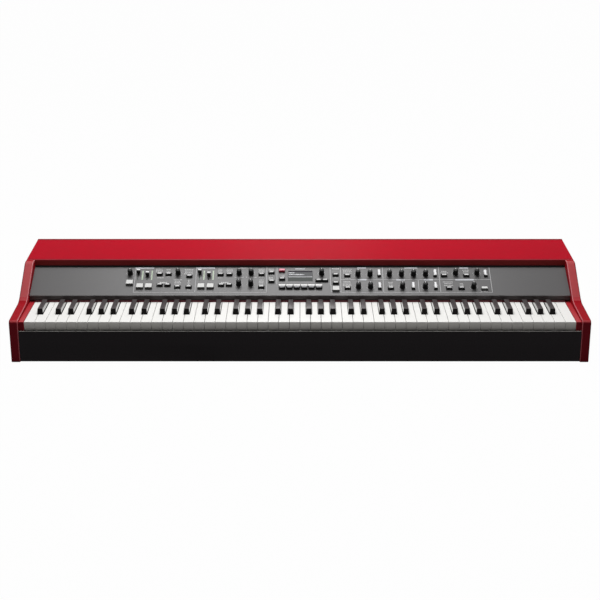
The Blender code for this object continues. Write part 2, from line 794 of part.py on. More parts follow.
def make_keyboard(white_look, black_look):
    for key in range(key_number(SINGLE_KEYS[0]), key_number(SINGLE_KEYS[1]) + 1):
        black = note_of(key) in BLACK_NOTES
        make_keys(key_name(key), [key], black, black_look if black else white_look)
    for first, last in KEY_SETS:
        span = first + "_" + last
        make_keys("white_keys_" + span, keys_between(first, last, False), False, white_look)
        make_keys("black_keys_" + span, keys_between(first, last, True), True, black_look)


def folded(path, thickness):
    """Closed section of a folded sheet from the middle line of its section, with mitred bends."""
    sides = ([], [])
    for index, (y, z) in enumerate(path):
        before = Vector(path[max(index - 1, 0)])
        here = Vector((y, z))
        after = Vector(path[min(index + 1, len(path) - 1)])
        first = (here - before).normalized() if index else (after - here).normalized()
        last = (after - here).normalized() if index < len(path) - 1 else first
        across = Vector((-first.y, first.x)) + Vector((-last.y, last.x))
        across /= 1 + first.dot(last)
        sides[0].append(tuple(here + across * thickness / 2))
        sides[1].append(tuple(here - across * thickness / 2))
    return sides[0] + sides[1][::-1]


def make_keybed(look):
    """The folded frame under the keys: guide rail, contact rail, hinge ledge and rear wall."""
    half = KEYBED_SHEET / 2
    lever = PIVOT_DISTANCE - WHITE_SKIRT
    guide_y = KEY_FRONT_Y + WHITE_SKIRT + GUIDE_RAIL_SETBACK + half
    dip = lever * math.sin(WHITE_TRAVEL)
    guide_top = KEY_TOP - WHITE_DEPTH - dip - GUIDE_RAIL_CLEARANCE - half
    base = FLOOR_Z + half
    rail = BOARD_RAIL_HEIGHT - half
    rail_y = (BOARD_RAIL_Y + half, BOARD_RAIL_Y + BOARD_RAIL_DEPTH - half)
    ledge = PIVOT_Z - HINGE_STRIP_OFFSET - HINGE_STRIP_THICKNESS - SEAT_GAP - half
    ledge_y = PIVOT_Y - HINGE_LEDGE
    wall_y = PIVOT_Y + HINGE_STRIP_BEHIND + SIDE_GAP + half
    path = [
        (guide_y, FLOOR_Z),
        (guide_y, guide_top),
        (guide_y + GUIDE_RAIL_DEPTH, guide_top),
        (guide_y + GUIDE_RAIL_DEPTH, base),
        (rail_y[0], base),
        (rail_y[0], rail),
        (rail_y[1], rail),
        (rail_y[1], base),
        (ledge_y, base),
        (ledge_y, ledge),
        (wall_y, ledge),
        (wall_y, PIVOT_Z + HINGE_STRIP_THICKNESS),
    ]
    reach = KEYBOARD_WIDTH / 2
    mesh = extruded("keybed_frame", folded(path, KEYBED_SHEET), -reach, reach)
    add_part("keybed_frame", mesh, look)


def make_contact_board(look):
    """The long circuit board on the middle rail that senses the keys."""
    reach = KEYBOARD_WIDTH / 2 - CONTACT_BOARD_INSET
    y = (BOARD_RAIL_Y + CONTACT_BOARD_MARGIN, BOARD_RAIL_Y + BOARD_RAIL_DEPTH - CONTACT_BOARD_MARGIN)
    low = BOARD_RAIL_HEIGHT + SEAT_GAP
    board = add_part("contact_board", box_mesh("contact_board", (-reach, reach), y, (low, low + PCB)), look)
    middle = (y[0] + y[1]) / 2
    strip = (middle - CONTACT_STRIP_WIDTH / 2, middle + CONTACT_STRIP_WIDTH / 2)
    z = (low + PCB / 2, low + CONTACT_STRIP_HEIGHT)
    rubber = box_mesh("contact_strip", (-reach + PCB, reach - PCB), strip, z)
    boolean(board, add_tool("contact_strip", rubber), "UNION")


# Control panel, drawn in the panel's own frame: X along it, Y up the slope, Z out of it


def slope_point(s, n):
    """Case (Y, Z) of a point at s up the panel's slope and n above its surface."""
    y = PANEL_LOW_Y + s * math.cos(PANEL_ANGLE) - n * math.sin(PANEL_ANGLE)
    z = PANEL_LOW_Z + s * math.sin(PANEL_ANGLE) + n * math.cos(PANEL_ANGLE)
    return y, z


def panel_outline():
    """Section of the panel: lower lip, sloping face and the flange under the lid."""
    lip_y = PANEL_LOW_Y + LIP_SETBACK
    lip_low = KEY_TOP + FELT_KEY_GAP + FELT_HEIGHT + SEAT_GAP
    under = math.tan(PANEL_ANGLE / 2) * PANEL_SHEET
    flange_low = PANEL_TOP_Z - PANEL_SHEET
    front_low = slope_point(0, -PANEL_SHEET)
    lip_high = front_low[1] + (lip_y - front_low[0]) * math.tan(PANEL_ANGLE)
    back_high = lip_high + LIP_THICKNESS * math.tan(PANEL_ANGLE)
    return [
        (PANEL_LOW_Y, PANEL_LOW_Z),
        front_low,
        (lip_y, lip_high),
        (lip_y, lip_low),
        (lip_y + LIP_THICKNESS, lip_low),
        (lip_y + LIP_THICKNESS, back_high),
        (PANEL_TOP_Y + under, flange_low),
        (PANEL_TOP_Y + PANEL_FLANGE, flange_low),
        (PANEL_TOP_Y + PANEL_FLANGE, PANEL_TOP_Z),
        (PANEL_TOP_Y, PANEL_TOP_Z),
    ]


def tone_knob_xs():
    return [TONE_KNOB_FIRST_X + TONE_KNOB_PITCH * index for index in range(TONE_KNOBS)]


def turning_knobs():
    """Name and place of each knob that is a piece of its own."""
    knobs = {"volume_knob": (VOLUME_X, KNOB_ROW_HIGH), "value_dial": (DIAL_X, KNOB_ROW_HIGH)}
    for index, x in enumerate(tone_knob_xs()):
        knobs[f"tone_knob_{index + 1}"] = (x, KNOB_ROW_EFFECT_HIGH)
    return knobs


def pressed_buttons():
    """Name and (X, S, width, length) of each button that is a piece of its own."""
    buttons = {"store_button": (*STORE_BUTTON, BUTTON_WIDTH, STORE_BUTTON_LENGTH)}
    for index in range(PROGRAM_BUTTONS):
        x = PROGRAM_FIRST_X + PROGRAM_PITCH * index
        size = (PROGRAM_BUTTON_WIDTH, WIDE_BUTTON_LENGTH)
        buttons[f"program_button_{index + 1}"] = (x, PROGRAM_ROW, *size)
    return buttons


def faders():
    """Name and (X, S at rest) of each fader."""
    xs = [pair + FADER_PITCH * index for pair in FADER_PAIRS_X for index in range(2)]
    return {f"layer_fader_{i + 1}": (x, s) for i, (x, s) in enumerate(zip(xs, FADER_REST))}


def fixed_knobs():
    """Places of the knobs that are joined to the panel."""
    high, low = KNOB_ROW_HIGH, KNOB_ROW_LOW
    effect_high, effect_low = KNOB_ROW_EFFECT_HIGH, KNOB_ROW_EFFECT_LOW
    places = [(x, high) for x in (-286, 364.7, 414.5)]
    places += [(x, s) for x in (-142.7, -114.6) for s in (high, low)]
    places += [(x, s) for x in (135.8, 164) for s in (effect_high, effect_low)]
    places += [(x, effect_low) for x in (238, 291, 403.3)]
    return [(x * ACROSS, s) for x, s in places]


def fixed_buttons():
    """X, S, width and length of every button that is joined to the panel, listed by kind and row."""
    small = {
        69: (-329, -308.2),
        68.2: (-186.2, -165.6, -90),
        62.2: (-259,),
        32.8: (-326.5, -308.2, -183.6, -165.3),
        26.5: (-284.9, -258.8, -90),
        74: (-67,),
        45: (-66.5,),
        52.8: (-41.8,),
        48: (43.4, 58.5),
        66.6: (83.4,),
        39.5: (83.4,),
        64.5: (110.8, 337.6, 389.6),
        22.5: (110.8, 211.2, 346.2, 375),
    }
    narrow = {64.5: (185.4, 316.4, 435.2), 22.5: (185.4, 263.3, 315.2)}
    wide = {42.5: (-397.5,), 29.9: (-372.6, -352.2, -230, -208.6), 20.6: (83.4, 428.1)}
    kinds = (
        (small, BUTTON_WIDTH, BUTTON_LENGTH),
        (narrow, NARROW_BUTTON_WIDTH, BUTTON_LENGTH),
        (wide, WIDE_BUTTON_WIDTH, WIDE_BUTTON_LENGTH),
    )
    buttons = []
    for rows, width, length in kinds:
        for s, xs in rows.items():
            buttons += [(x * ACROSS, s * UP, width, length) for x in xs]
    return buttons


def add_button(form, x, s, width, length, low):
    """A button cap with its front edge higher than its back edge."""
    made = add_box(
        form,
        (x - width / 2, x + width / 2),
        (s - length / 2, s + length / 2),
        (low, BUTTON_LIFT + BUTTON_HEIGHT),
        (BUTTON_LEAN, BUTTON_LEAN, BUTTON_LEAN),
    )
    for vert in made:
        if vert.co.z > low + BUTTON_HEIGHT / 2 and vert.co.y > s:
            vert.co.z -= BUTTON_WEDGE


def panel_controls(form):
    """Every knob and button that is joined to the panel, rooted inside its sheet."""
    root = -PANEL_SHEET / 2
    for place in fixed_knobs():
        add_cylinder(form, place, KNOB_RADIUS, root, KNOB_HEIGHT, sides=10, top_radius=KNOB_TOP_RADIUS)
    for button in fixed_buttons():
        add_button(form, *button, root)


def panel_bosses(form):
    for x in PANEL_BOSS_X:
        low = -PANEL_BOARD_DROP + SEAT_GAP
        add_cylinder(form, (x, PANEL_BOSS_S), PANEL_BOSS_RADIUS, low, -PANEL_SHEET / 2, sides=8)


def panel_holes(form):
    """Holes for shafts, stems, slots and the display."""
    deep, high = -3 * PANEL_SHEET, PANEL_SHEET
    for place in turning_knobs().values():
        add_cylinder(form, place, SHAFT_RADIUS + SEAT_GAP, deep, high, sides=12)
    for x, s, _, _ in pressed_buttons().values():
        half_x, half_s = STEM_WIDTH / 2 + SEAT_GAP, STEM_LENGTH / 2 + SEAT_GAP
        add_box(form, (x - half_x, x + half_x), (s - half_s, s + half_s), (deep, high))
    for x, _ in faders().values():
        half = FADER_SLOT_WIDTH / 2
        slot = (FADER_SLOT_LOW, FADER_SLOT_LOW + FADER_SLOT_LENGTH)
        add_box(form, (x - half, x + half), slot, (deep, high))
    x, s = DISPLAY_CENTRE
    half_x, half_s = DISPLAY_WIDTH / 2 + SEAT_GAP, DISPLAY_HEIGHT / 2 + SEAT_GAP
    add_box(form, (x - half_x, x + half_x), (s - half_s, s + half_s), (deep, high))


def make_panel(look):
    reach = HALF_INSIDE - SEAT_GAP
    panel = add_part("control_panel", extruded("control_panel", panel_outline(), -reach, reach), look)
    steps = (
        ("panel_controls", panel_controls, "UNION"),
        ("panel_bosses", panel_bosses, "UNION"),
        ("panel_holes", panel_holes, "DIFFERENCE"),
    )
    for name, build, operation in steps:
        boolean(panel, add_tool(name, mesh_of(name, build), PANEL), operation)


def make_felt(look):
    """The strip of felt along the foot of the panel's lip, just over the keys."""
    reach = KEYBOARD_WIDTH / 2
    lip = PANEL_LOW_Y + LIP_SETBACK
    y = (lip - FELT_BEFORE_LIP, lip + FELT_BEHIND_LIP)
    z = (KEY_TOP + FELT_KEY_GAP, KEY_TOP + FELT_KEY_GAP + FELT_HEIGHT)
    add_part("key_felt", box_mesh("key_felt", (-reach, reach), y, z), look)


def make_display(look):
    x, s = DISPLAY_CENTRE
    half_x, half_s = DISPLAY_WIDTH / 2, DISPLAY_HEIGHT / 2
    glass = box_mesh("display_window", (-half_x, half_x), (-half_s, half_s), (-DISPLAY_GLASS, 0))
    window = add_part("display_window", glass, look, PANEL)
    window.location = (x, s, 0)


def board_blocks(form):
    """The pots, slide pots, switches and the screen module on the panel's board."""
    low = -PANEL_BOARD_DROP - PCB / 2
    top = -CONTROL_BLOCK_TOP
    half = CONTROL_BLOCK / 2
    for x, s in turning_knobs().values():
        add_box(form, (x - half, x + half), (s - half, s + half), (low, top))
    for x, s, _, _ in pressed_buttons().values():
        add_box(form, (x - STEM_WIDTH, x + STEM_WIDTH), (s - STEM_WIDTH, s + STEM_WIDTH), (low, top))
    for x, _ in faders().values():
        slot = (FADER_SLOT_LOW - half, FADER_SLOT_LOW + FADER_SLOT_LENGTH + half / 2)
        add_box(form, (x - STEM_WIDTH, x + STEM_WIDTH), slot, (low, top))
    x, s = DISPLAY_CENTRE
    half_x, half_s = DISPLAY_WIDTH / 2 - SEAT_GAP, DISPLAY_HEIGHT / 2 - SEAT_GAP
    add_box(form, (x - half_x, x + half_x), (s - half_s, s + half_s), (low, -DISPLAY_GLASS - SEAT_GAP))


def make_panel_board(look):
    z = (-PANEL_BOARD_DROP - PCB, -PANEL_BOARD_DROP)
    board = add_part("panel_board", box_mesh("panel_board", PANEL_BOARD_X, PANEL_BOARD_S, z), look, PANEL)
    boolean(board, add_tool("board_blocks", mesh_of("board_blocks", board_blocks), PANEL), "UNION")


def make_turning_knobs(look):
    """Knobs turned about their shafts, each with a raised pointer."""
    shaft_end = -CONTROL_BLOCK_TOP + SEAT_GAP
    profile = [
        (0, KNOB_HEIGHT),
        (KNOB_TOP_RADIUS - KNOB_CHAMFER, KNOB_HEIGHT),
        (KNOB_TOP_RADIUS, KNOB_HEIGHT - KNOB_CHAMFER),
        (KNOB_RADIUS, KNOB_LIFT),
        (SHAFT_RADIUS, KNOB_LIFT),
        (SHAFT_RADIUS, shaft_end),
        (0, shaft_end),
    ]
    pointer = (
        (-POINTER_WIDTH / 2, POINTER_WIDTH / 2),
        (0, KNOB_TOP_RADIUS + POINTER_OVERHANG),
        (KNOB_HEIGHT / 2, KNOB_HEIGHT + POINTER_PROUD),
    )
    for name, (x, s) in turning_knobs().items():
        knob = add_part(name, turned_mesh(name, profile), look, PANEL)
        knob.location = (x, s, 0)
        add_screw(knob, 12)
        ridge = add_tool(name + "_pointer", box_mesh(name + "_pointer", *pointer), PANEL)
        ridge.location = knob.location
        boolean(knob, ridge, "UNION")


def make_pressed_buttons(pale_look, red_look):
    """Button caps with a stem through the panel down to the switch."""
    for name, (x, s, width, length) in pressed_buttons().items():
        cap = mesh_of(name, lambda form: add_button(form, 0, 0, width, length, BUTTON_LIFT))
        button = add_part(name, cap, red_look if name == "store_button" else pale_look, PANEL)
        button.location = (x, s, 0)
        half_x, half_s = STEM_WIDTH / 2, STEM_LENGTH / 2
        low = -CONTROL_BLOCK_TOP + SEAT_GAP + BUTTON_TRAVEL
        stem = box_mesh(
            name + "_stem", (-half_x, half_x), (-half_s, half_s), (low, BUTTON_LIFT + MM)
        )
        tool = add_tool(name + "_stem", stem, PANEL)
        tool.location = button.location
        boolean(button, tool, "UNION")


def make_faders(look):
    """Fader caps on a flat stem that runs in the panel's slot."""
    for name, (x, s) in faders().items():
        half_x, half_s = FADER_CAP_WIDTH / 2, FADER_CAP_LENGTH / 2
        lean = (FADER_CAP_WIDTH / 16, FADER_CAP_LENGTH / 4, FADER_CAP_LENGTH / 8)
        z = (KNOB_LIFT, KNOB_LIFT + FADER_CAP_HEIGHT)
        cap = box_mesh(name, (-half_x, half_x), (-half_s, half_s), z, lean)
        fader = add_part(name, cap, look, PANEL)
        fader.location = (x, s, 0)
        half_stem = FADER_SLOT_WIDTH / 2 - SEAT_GAP
        stem = box_mesh(
            name + "_stem",
            (-half_stem, half_stem),
            (-FADER_STEM_LENGTH / 2, FADER_STEM_LENGTH / 2),
            (-CONTROL_BLOCK_TOP + SEAT_GAP, KNOB_LIFT + MM),
        )
        tool = add_tool(name + "_stem", stem, PANEL)
        tool.location = fader.location
        boolean(fader, tool, "UNION")


# Inside and back


def add_block(form, centre, size, root, board_top):
    """A component that stands on a board, rooted inside it."""
    half_x, half_y = size[0] / 2, size[1] / 2
    x = (centre[0] - half_x, centre[0] + half_x)
    y = (centre[1] - half_y, centre[1] + half_y)
    add_box(form, x, y, (root, board_top + size[2]))


def make_main_board(look):
    """The sound engine's board, with a processor under its heat sink, and capacitors."""
    low = BOTTOM_THICKNESS + STANDOFF_HEIGHT + SEAT_GAP
    z = (low, low + PCB)
    board = add_part("main_board", box_mesh("main_board", MAIN_BOARD_X, MAIN_BOARD_Y, z), look)
    middle_x = (MAIN_BOARD_X[0] + MAIN_BOARD_X[1]) / 2
    middle_y = (MAIN_BOARD_Y[0] + MAIN_BOARD_Y[1]) / 2

    def components(form):
        root = low + PCB / 2
        add_block(form, (middle_x, middle_y), HEAT_SINK, root, z[1])
        for index in range(CHIPS):
            away = (index + 2) * COMPONENT_PITCH
            add_block(form, (middle_x - away, middle_y), CHIP, root, z[1])
            top = z[1] + CAPACITOR_HEIGHT
            add_cylinder(form, (middle_x + away, middle_y), CAPACITOR_RADIUS, root, top, sides=10)

    boolean(board, add_tool("main_components", mesh_of("main_components", components)), "UNION")


def make_power_supply(look):
    """An open board with its transformer and two capacitors."""
    low = BOTTOM_THICKNESS + STANDOFF_HEIGHT + SEAT_GAP
    z = (low, low + PCB)
    board = add_part("power_supply", box_mesh("power_supply", SUPPLY_X, SUPPLY_Y, z), look)
    middle_x = (SUPPLY_X[0] + SUPPLY_X[1]) / 2
    middle_y = (SUPPLY_Y[0] + SUPPLY_Y[1]) / 2

    def components(form):
        root = low + PCB / 2
        add_block(form, (middle_x - TRANSFORMER_OFFSET, middle_y), TRANSFORMER, root, z[1])
        x, away = SUPPLY_CAPACITOR_PLACE
        top = z[1] + SUPPLY_CAPACITOR_HEIGHT
        for y in (middle_y - away, middle_y + away):
            add_cylinder(form, (middle_x + x, y), SUPPLY_CAPACITOR_RADIUS, root, top, sides=12)

    boolean(board, add_tool("supply_components", mesh_of("supply_components", components)), "UNION")


def rear_outline():
    """Section of the rear panel: an upright sheet with a flange under the lid and one on the base."""
    inner = REAR_Y - SHEET
    flange_y = inner - REAR_FLANGE
    top = lid_bottom(flange_y) - SEAT_GAP
    return [
        (REAR_Y, 0),
        (REAR_Y, top),
        (flange_y, top),
        (flange_y, top - SHEET),
        (inner, top - SHEET),
        (inner, FLOOR_Z + SHEET),
        (flange_y, FLOOR_Z + SHEET),
        (flange_y, FLOOR_Z),
        (inner + SEAT_GAP, FLOOR_Z),
        (inner + SEAT_GAP, 0),
    ]


def rear_holes(form):
    """The window behind which the connectors stand, the inlet's hole and the switch's hole."""
    y = (REAR_Y - 3 * SHEET, REAR_Y + SHEET)
    half = JACK_PLATE_HALF_HEIGHT - JACK_PLATE_MARGIN / 2
    window_x = (JACK_PLATE_X[0] + JACK_PLATE_MARGIN, JACK_PLATE_X[1] - JACK_PLATE_MARGIN)
    add_box(form, window_x, y, (CONNECTOR_HEIGHT - half, CONNECTOR_HEIGHT + half))
    for x, (width, height) in ((INLET_X, INLET_OUTER), (SWITCH_X, SWITCH_HOLE)):
        half_x, half_z = width / 2 + SEAT_GAP, height / 2 + SEAT_GAP
        z = (CONNECTOR_HEIGHT - half_z, CONNECTOR_HEIGHT + half_z)
        add_box(form, (x - half_x, x + half_x), y, z)


def switch_housing(form):
    """Walls behind the switch's hole, which hold the rocker."""
    wall = SHEET
    half_x, half_z = SWITCH_HOLE[0] / 2 + SEAT_GAP + wall, SWITCH_HOLE[1] / 2 + SEAT_GAP + wall
    y = (REAR_Y - SWITCH_DEPTH - wall, REAR_Y - SHEET / 2)
    z = (CONNECTOR_HEIGHT - half_z, CONNECTOR_HEIGHT + half_z)
    add_box(form, (SWITCH_X - half_x, SWITCH_X + half_x), y, z)


def switch_well(form):
    half_x, half_z = SWITCH_HOLE[0] / 2 + SEAT_GAP, SWITCH_HOLE[1] / 2 + SEAT_GAP
    z = (CONNECTOR_HEIGHT - half_z, CONNECTOR_HEIGHT + half_z)
    add_box(form, (SWITCH_X - half_x, SWITCH_X + half_x), (REAR_Y - SWITCH_DEPTH, REAR_Y + SHEET), z)


def make_rear_panel(look):
    reach = HALF_INSIDE - SEAT_GAP
    panel = add_part("rear_panel", extruded("rear_panel", rear_outline(), -reach, reach), look)
    steps = (
        ("switch_housing", switch_housing, "UNION"),
        ("switch_well", switch_well, "DIFFERENCE"),
        ("rear_holes", rear_holes, "DIFFERENCE"),
    )
    for name, build, operation in steps:
        boolean(panel, add_tool(name, mesh_of(name, build)), operation)


def jack_xs():
    return [JACK_FIRST_X + JACK_PITCH * index for index in range(JACKS)]


def connector_bodies(form):
    """The barrels and shells that stand through the connector plate."""
    z = CONNECTOR_HEIGHT
    plate_y = REAR_Y - 2 * SHEET
    end = REAR_Y + JACK_PROUD
    for x in jack_xs():
        add_cylinder(form, (x, z), JACK_RADIUS, end - JACK_BODY_DEPTH, end, axis="Y", sides=12)
    for x in DIN_X:
        add_cylinder(form, (x, z), DIN_RADIUS, plate_y - DIN_DEPTH, REAR_Y, axis="Y", sides=16)
    half_x, half_z = USB_OUTER[0] / 2, USB_OUTER[1] / 2
    shell = (plate_y - USB_DEPTH, REAR_Y)
    add_box(form, (USB_X - half_x, USB_X + half_x), shell, (z - half_z, z + half_z))


def connector_bores(form):
    z = CONNECTOR_HEIGHT
    end = REAR_Y + JACK_PROUD
    for x in jack_xs():
        low = end - JACK_BODY_DEPTH + 2 * SHEET
        add_cylinder(form, (x, z), JACK_BORE_RADIUS, low, end + MM, axis="Y", sides=12)
    for x in DIN_X:
        low = REAR_Y - DIN_DEPTH
        add_cylinder(form, (x, z), DIN_BORE_RADIUS, low, REAR_Y + MM, axis="Y", sides=16)
    half_x, half_z = USB_INNER[0] / 2, USB_INNER[1] / 2
    hole = (REAR_Y - USB_DEPTH, REAR_Y + MM)
    add_box(form, (USB_X - half_x, USB_X + half_x), hole, (z - half_z, z + half_z))


def make_jack_plate(look):
    """The connector plate, just inside the rear panel's window."""
    y = (REAR_Y - 2 * SHEET - SEAT_GAP, REAR_Y - SHEET - SEAT_GAP)
    half = JACK_PLATE_HALF_HEIGHT
    z = (CONNECTOR_HEIGHT - half, CONNECTOR_HEIGHT + half)
    plate = add_part("jack_plate", box_mesh("jack_plate", JACK_PLATE_X, y, z), look)
    steps = (
        ("connector_bodies", connector_bodies, "UNION"),
        ("connector_bores", connector_bores, "DIFFERENCE"),
    )
    for name, build, operation in steps:
        boolean(plate, add_tool(name, mesh_of(name, build)), operation)


def make_power_inlet(look):
    """The mains inlet: a rim, a deep well and three blades."""
    rim = INLET_RIM
    half_x, half_z = INLET_OUTER[0] / 2, INLET_OUTER[1] / 2
    z = CONNECTOR_HEIGHT
    body_y = (REAR_Y - INLET_BODY_DEPTH, REAR_Y + rim)
    mesh = box_mesh("power_inlet", (-half_x, half_x), body_y, (z - half_z, z + half_z))
    inlet = add_part("power_inlet", mesh, look)
    inlet.location = (INLET_X, 0, 0)
    collar = box_mesh(
        "inlet_collar",
        (-half_x - rim, half_x + rim),
        (REAR_Y + SEAT_GAP, REAR_Y + rim),
        (z - half_z - rim, z + half_z + rim),
    )
    well_x, well_z = INLET_INNER[0] / 2, INLET_INNER[1] / 2
    floor = REAR_Y + rim - INLET_DEPTH
    well = box_mesh("inlet_well", (-well_x, well_x), (floor, REAR_Y + 2 * rim), (z - well_z, z + well_z))

    def blades(form):
        for index in (-1, 0, 1):
            x = INLET_PIN_PITCH * index
            centre = z + (-INLET_PIN_DROP if index else INLET_EARTH_RISE)
            half = (INLET_PIN[0] / 2, INLET_PIN[1] / 2)
            pin_y = (floor - MM, floor + INLET_PIN_LENGTH)
            add_box(form, (x - half[0], x + half[0]), pin_y, (centre - half[1], centre + half[1]))

    steps = (
        ("inlet_collar", collar, "UNION"),
        ("inlet_well", well, "DIFFERENCE"),
        ("inlet_blades", mesh_of("inlet_blades", blades), "UNION"),
    )
    for name, shape, operation in steps:
        tool = add_tool(name, shape)
        tool.location = inlet.location
        boolean(inlet, tool, operation)


def make_power_switch(look):
    """A rocker that tips about a level axis, with a face that is hollow in the middle."""
    half_x = SWITCH_HOLE[0] / 2 - SEAT_GAP
    half_z = SWITCH_HOLE[1] / 2 - 3 * SEAT_GAP
    depth = SWITCH_DEPTH / 2
    face = half_z - SWITCH_EDGE
    outline = [
        (-depth, -half_z / 2),
        (0, -face),
        (SWITCH_PROUD, -face),
        (SWITCH_PROUD - SWITCH_HOLLOW, 0),
        (SWITCH_PROUD, face),
        (0, face),
        (-depth, half_z / 2),
    ]
    outline = [(y + REAR_Y, z + CONNECTOR_HEIGHT) for y, z in outline]
    mesh = extruded("power_switch", outline, SWITCH_X - half_x, SWITCH_X + half_x)
    rocker = add_part("power_switch", mesh, look)
    set_origin(rocker, (SWITCH_X, REAR_Y - SHEET, CONNECTOR_HEIGHT))


def make_piano():
    red = material("red_lacquer", LACQUER_RED, 0.25)
    deep_red = material("deep_red_lacquer", DEEP_RED, 0.35)
    black_sheet = material("black_painted_sheet", SHEET_BLACK, 0.45)
    steel = material("zinc_plated_steel", STEEL, 0.4, 1.0)
    knob_black = material("black_knob_plastic", KNOB_BLACK, 0.45)
    make_lid(red)
    make_cheeks(deep_red)
    make_bottom(black_sheet)
    make_feet(material("foot_rubber", RUBBER, 0.8))
    make_slip(black_sheet)
    make_end_blocks(deep_red)
    make_keyboard(
        material("white_key_plastic", KEY_IVORY, 0.3),
        material("black_key_plastic", KEY_BLACK, 0.5),
    )
    make_keybed(steel)
    make_panel(material("grey_panel_paint", PANEL_GREY, 0.4))
    make_felt(material("red_felt", FELT_RED, 0.95))
    make_display(material("display_glass", GLASS_GREY, 0.15))
    make_turning_knobs(knob_black)
    make_pressed_buttons(
        material("pale_button_plastic", BUTTON_PALE, 0.4),
        material("red_button_plastic", BUTTON_RED, 0.4),
    )
    make_faders(knob_black)
    board = material("circuit_board", BOARD_GREEN, 0.5)
    make_panel_board(board)
    make_contact_board(board)
    make_main_board(board)
    make_power_supply(board)
    make_rear_panel(black_sheet)
    make_jack_plate(steel)
    make_power_inlet(knob_black)
    make_power_switch(knob_black)
    for thing in PARTS.objects:
        if thing.type == "MESH":
            smooth(thing)


make_piano()
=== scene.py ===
"""Looks of the stage piano: lacquered case, rounded keys, detailed panel, sockets, light and camera.

Lengths are in metres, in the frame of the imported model: X along the keyboard, Y to the back, Z up.
"""

import json
import random
from math import atan, atan2, copysign, cos, pi, radians, sin, tan

import bmesh
import bpy
from mathutils import Matrix, Vector


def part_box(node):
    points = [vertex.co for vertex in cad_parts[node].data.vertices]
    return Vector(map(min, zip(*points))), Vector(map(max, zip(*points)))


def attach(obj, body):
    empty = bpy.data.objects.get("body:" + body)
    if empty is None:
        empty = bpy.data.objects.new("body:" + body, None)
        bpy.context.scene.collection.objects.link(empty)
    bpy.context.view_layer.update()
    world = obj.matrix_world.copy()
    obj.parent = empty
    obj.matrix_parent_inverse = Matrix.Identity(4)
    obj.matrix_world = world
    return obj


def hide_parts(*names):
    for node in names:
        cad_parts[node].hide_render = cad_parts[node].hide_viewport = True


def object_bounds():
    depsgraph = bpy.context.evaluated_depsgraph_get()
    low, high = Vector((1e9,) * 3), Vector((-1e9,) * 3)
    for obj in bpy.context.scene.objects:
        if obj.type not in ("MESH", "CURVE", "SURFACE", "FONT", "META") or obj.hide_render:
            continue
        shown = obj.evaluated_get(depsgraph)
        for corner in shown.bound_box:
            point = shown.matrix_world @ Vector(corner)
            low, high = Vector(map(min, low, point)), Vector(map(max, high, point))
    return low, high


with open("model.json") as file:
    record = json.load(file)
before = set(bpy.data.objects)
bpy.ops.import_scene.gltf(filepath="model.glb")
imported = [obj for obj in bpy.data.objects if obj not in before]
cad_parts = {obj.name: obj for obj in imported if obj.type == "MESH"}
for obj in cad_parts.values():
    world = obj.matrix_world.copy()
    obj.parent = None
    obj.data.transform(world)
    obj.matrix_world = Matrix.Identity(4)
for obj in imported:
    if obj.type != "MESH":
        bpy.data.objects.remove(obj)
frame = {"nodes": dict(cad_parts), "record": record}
cad_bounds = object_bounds()
MM = 0.001


def mm(*lengths):
    """Lengths in millimetres, turned into metres."""
    return tuple(length * MM for length in lengths)


def corners(name):
    """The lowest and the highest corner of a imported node's box."""
    return [Vector(corner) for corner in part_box(name)]


GAP = 0.3 * MM
LOW, HIGH = (Vector(corner) for corner in cad_bounds)
BEHAVIOUR = frame["record"]["behaviour"]
JOINTS = {joint["name"]: joint for joint in BEHAVIOUR["joints"]}
BODIES = BEHAVIOUR["bodies"]
CASE = "case"
SHARP = radians(40)
LENGTH_CUTS = 24

# Keyboard
KEY_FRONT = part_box("white_keys_A0_B1")[0][1]
KEY_BACK, KEY_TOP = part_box("white_keys_A0_B1")[1][1:]
WHITE_PITCH = 23.56 * MM
WHITE_GAP = 1.06 * MM
WHITE_HEAD = 49 * MM
WHITE_DEPTH = 14 * MM
WHITE_SKIRT = 4 * MM
FRONT_HEIGHT = 19.6 * MM
WHITE_ROUND = 0.45 * MM
FRONT_LEVELS = mm(3.5, 7, 10.5)
FRONT_CURVE = 1.8 * MM
BLACK_WIDTH = 13 * MM
BLACK_FLARE = 0.35 * MM
BLACK_TOP_WIDTH = 11.6 * MM
BLACK_HEIGHT = 12.5 * MM
BLACK_LENGTH = 80.5 * MM
BLACK_FRONT_SLOPE = 3.5 * MM
BLACK_SIDE_GAP = 0.6 * MM
BLACK_FRONT_GAP = 0.9 * MM
BLACK_ROUND = 1.3 * MM
BLACK_BAND = 3 * MM
BLACK_TAIL = 13 * MM
BLACK_TAIL_DROP = 4.5 * MM
KEY_COUNT = 88
WHITES_TO_MIDDLE = 26
FIRST_NOTE = 9
BLACK_NOTES = (1, 3, 6, 8, 10)
NOTE_NAMES = ("C", "Csharp", "D", "Dsharp", "E", "F", "Fsharp", "G", "Gsharp", "A", "Asharp", "B")
KEY_SETS = ((0, 14), (15, 38), (51, 74), (75, 87))
SINGLE_KEYS = (39, 50)
NOTCH_WIDTH = BLACK_WIDTH + 2 * BLACK_SIDE_GAP
FELT_CUTS = 160
FELT_FRAY = 0.25

# Case
EDGE = 1.4 * MM
# Widths of the bands of painted shade along the rear and the front of the lid's top.
LID_REAR_SHADE_BAND, LID_FRONT_SHADE_BAND = mm(9, 8)
LID = corners("top_lid")
LID_THICKNESS, LID_RISE = mm(15, 7)
CHEEK = {side: corners(side + "_cheek") for side in ("left", "right")}
CASE_Z = LOW.z + 5 * MM
CHEEK_EDGE = 1.8 * MM
REST_HEIGHT = 96.5 * MM
REST_RADIUS = 9 * MM
ARM_START = mm(100, 100.5)
ARM_RADIUS = 55 * MM
CREST_RADIUS = 22 * MM
ARM_ANGLE = radians(36)
CREST_SETBACK = 13 * MM
CREST_START = 150 * MM
TOE_DROP, TOE_RADIUS = mm(2.4, 2.5)
SLIP_THICKNESS = 4.2 * MM

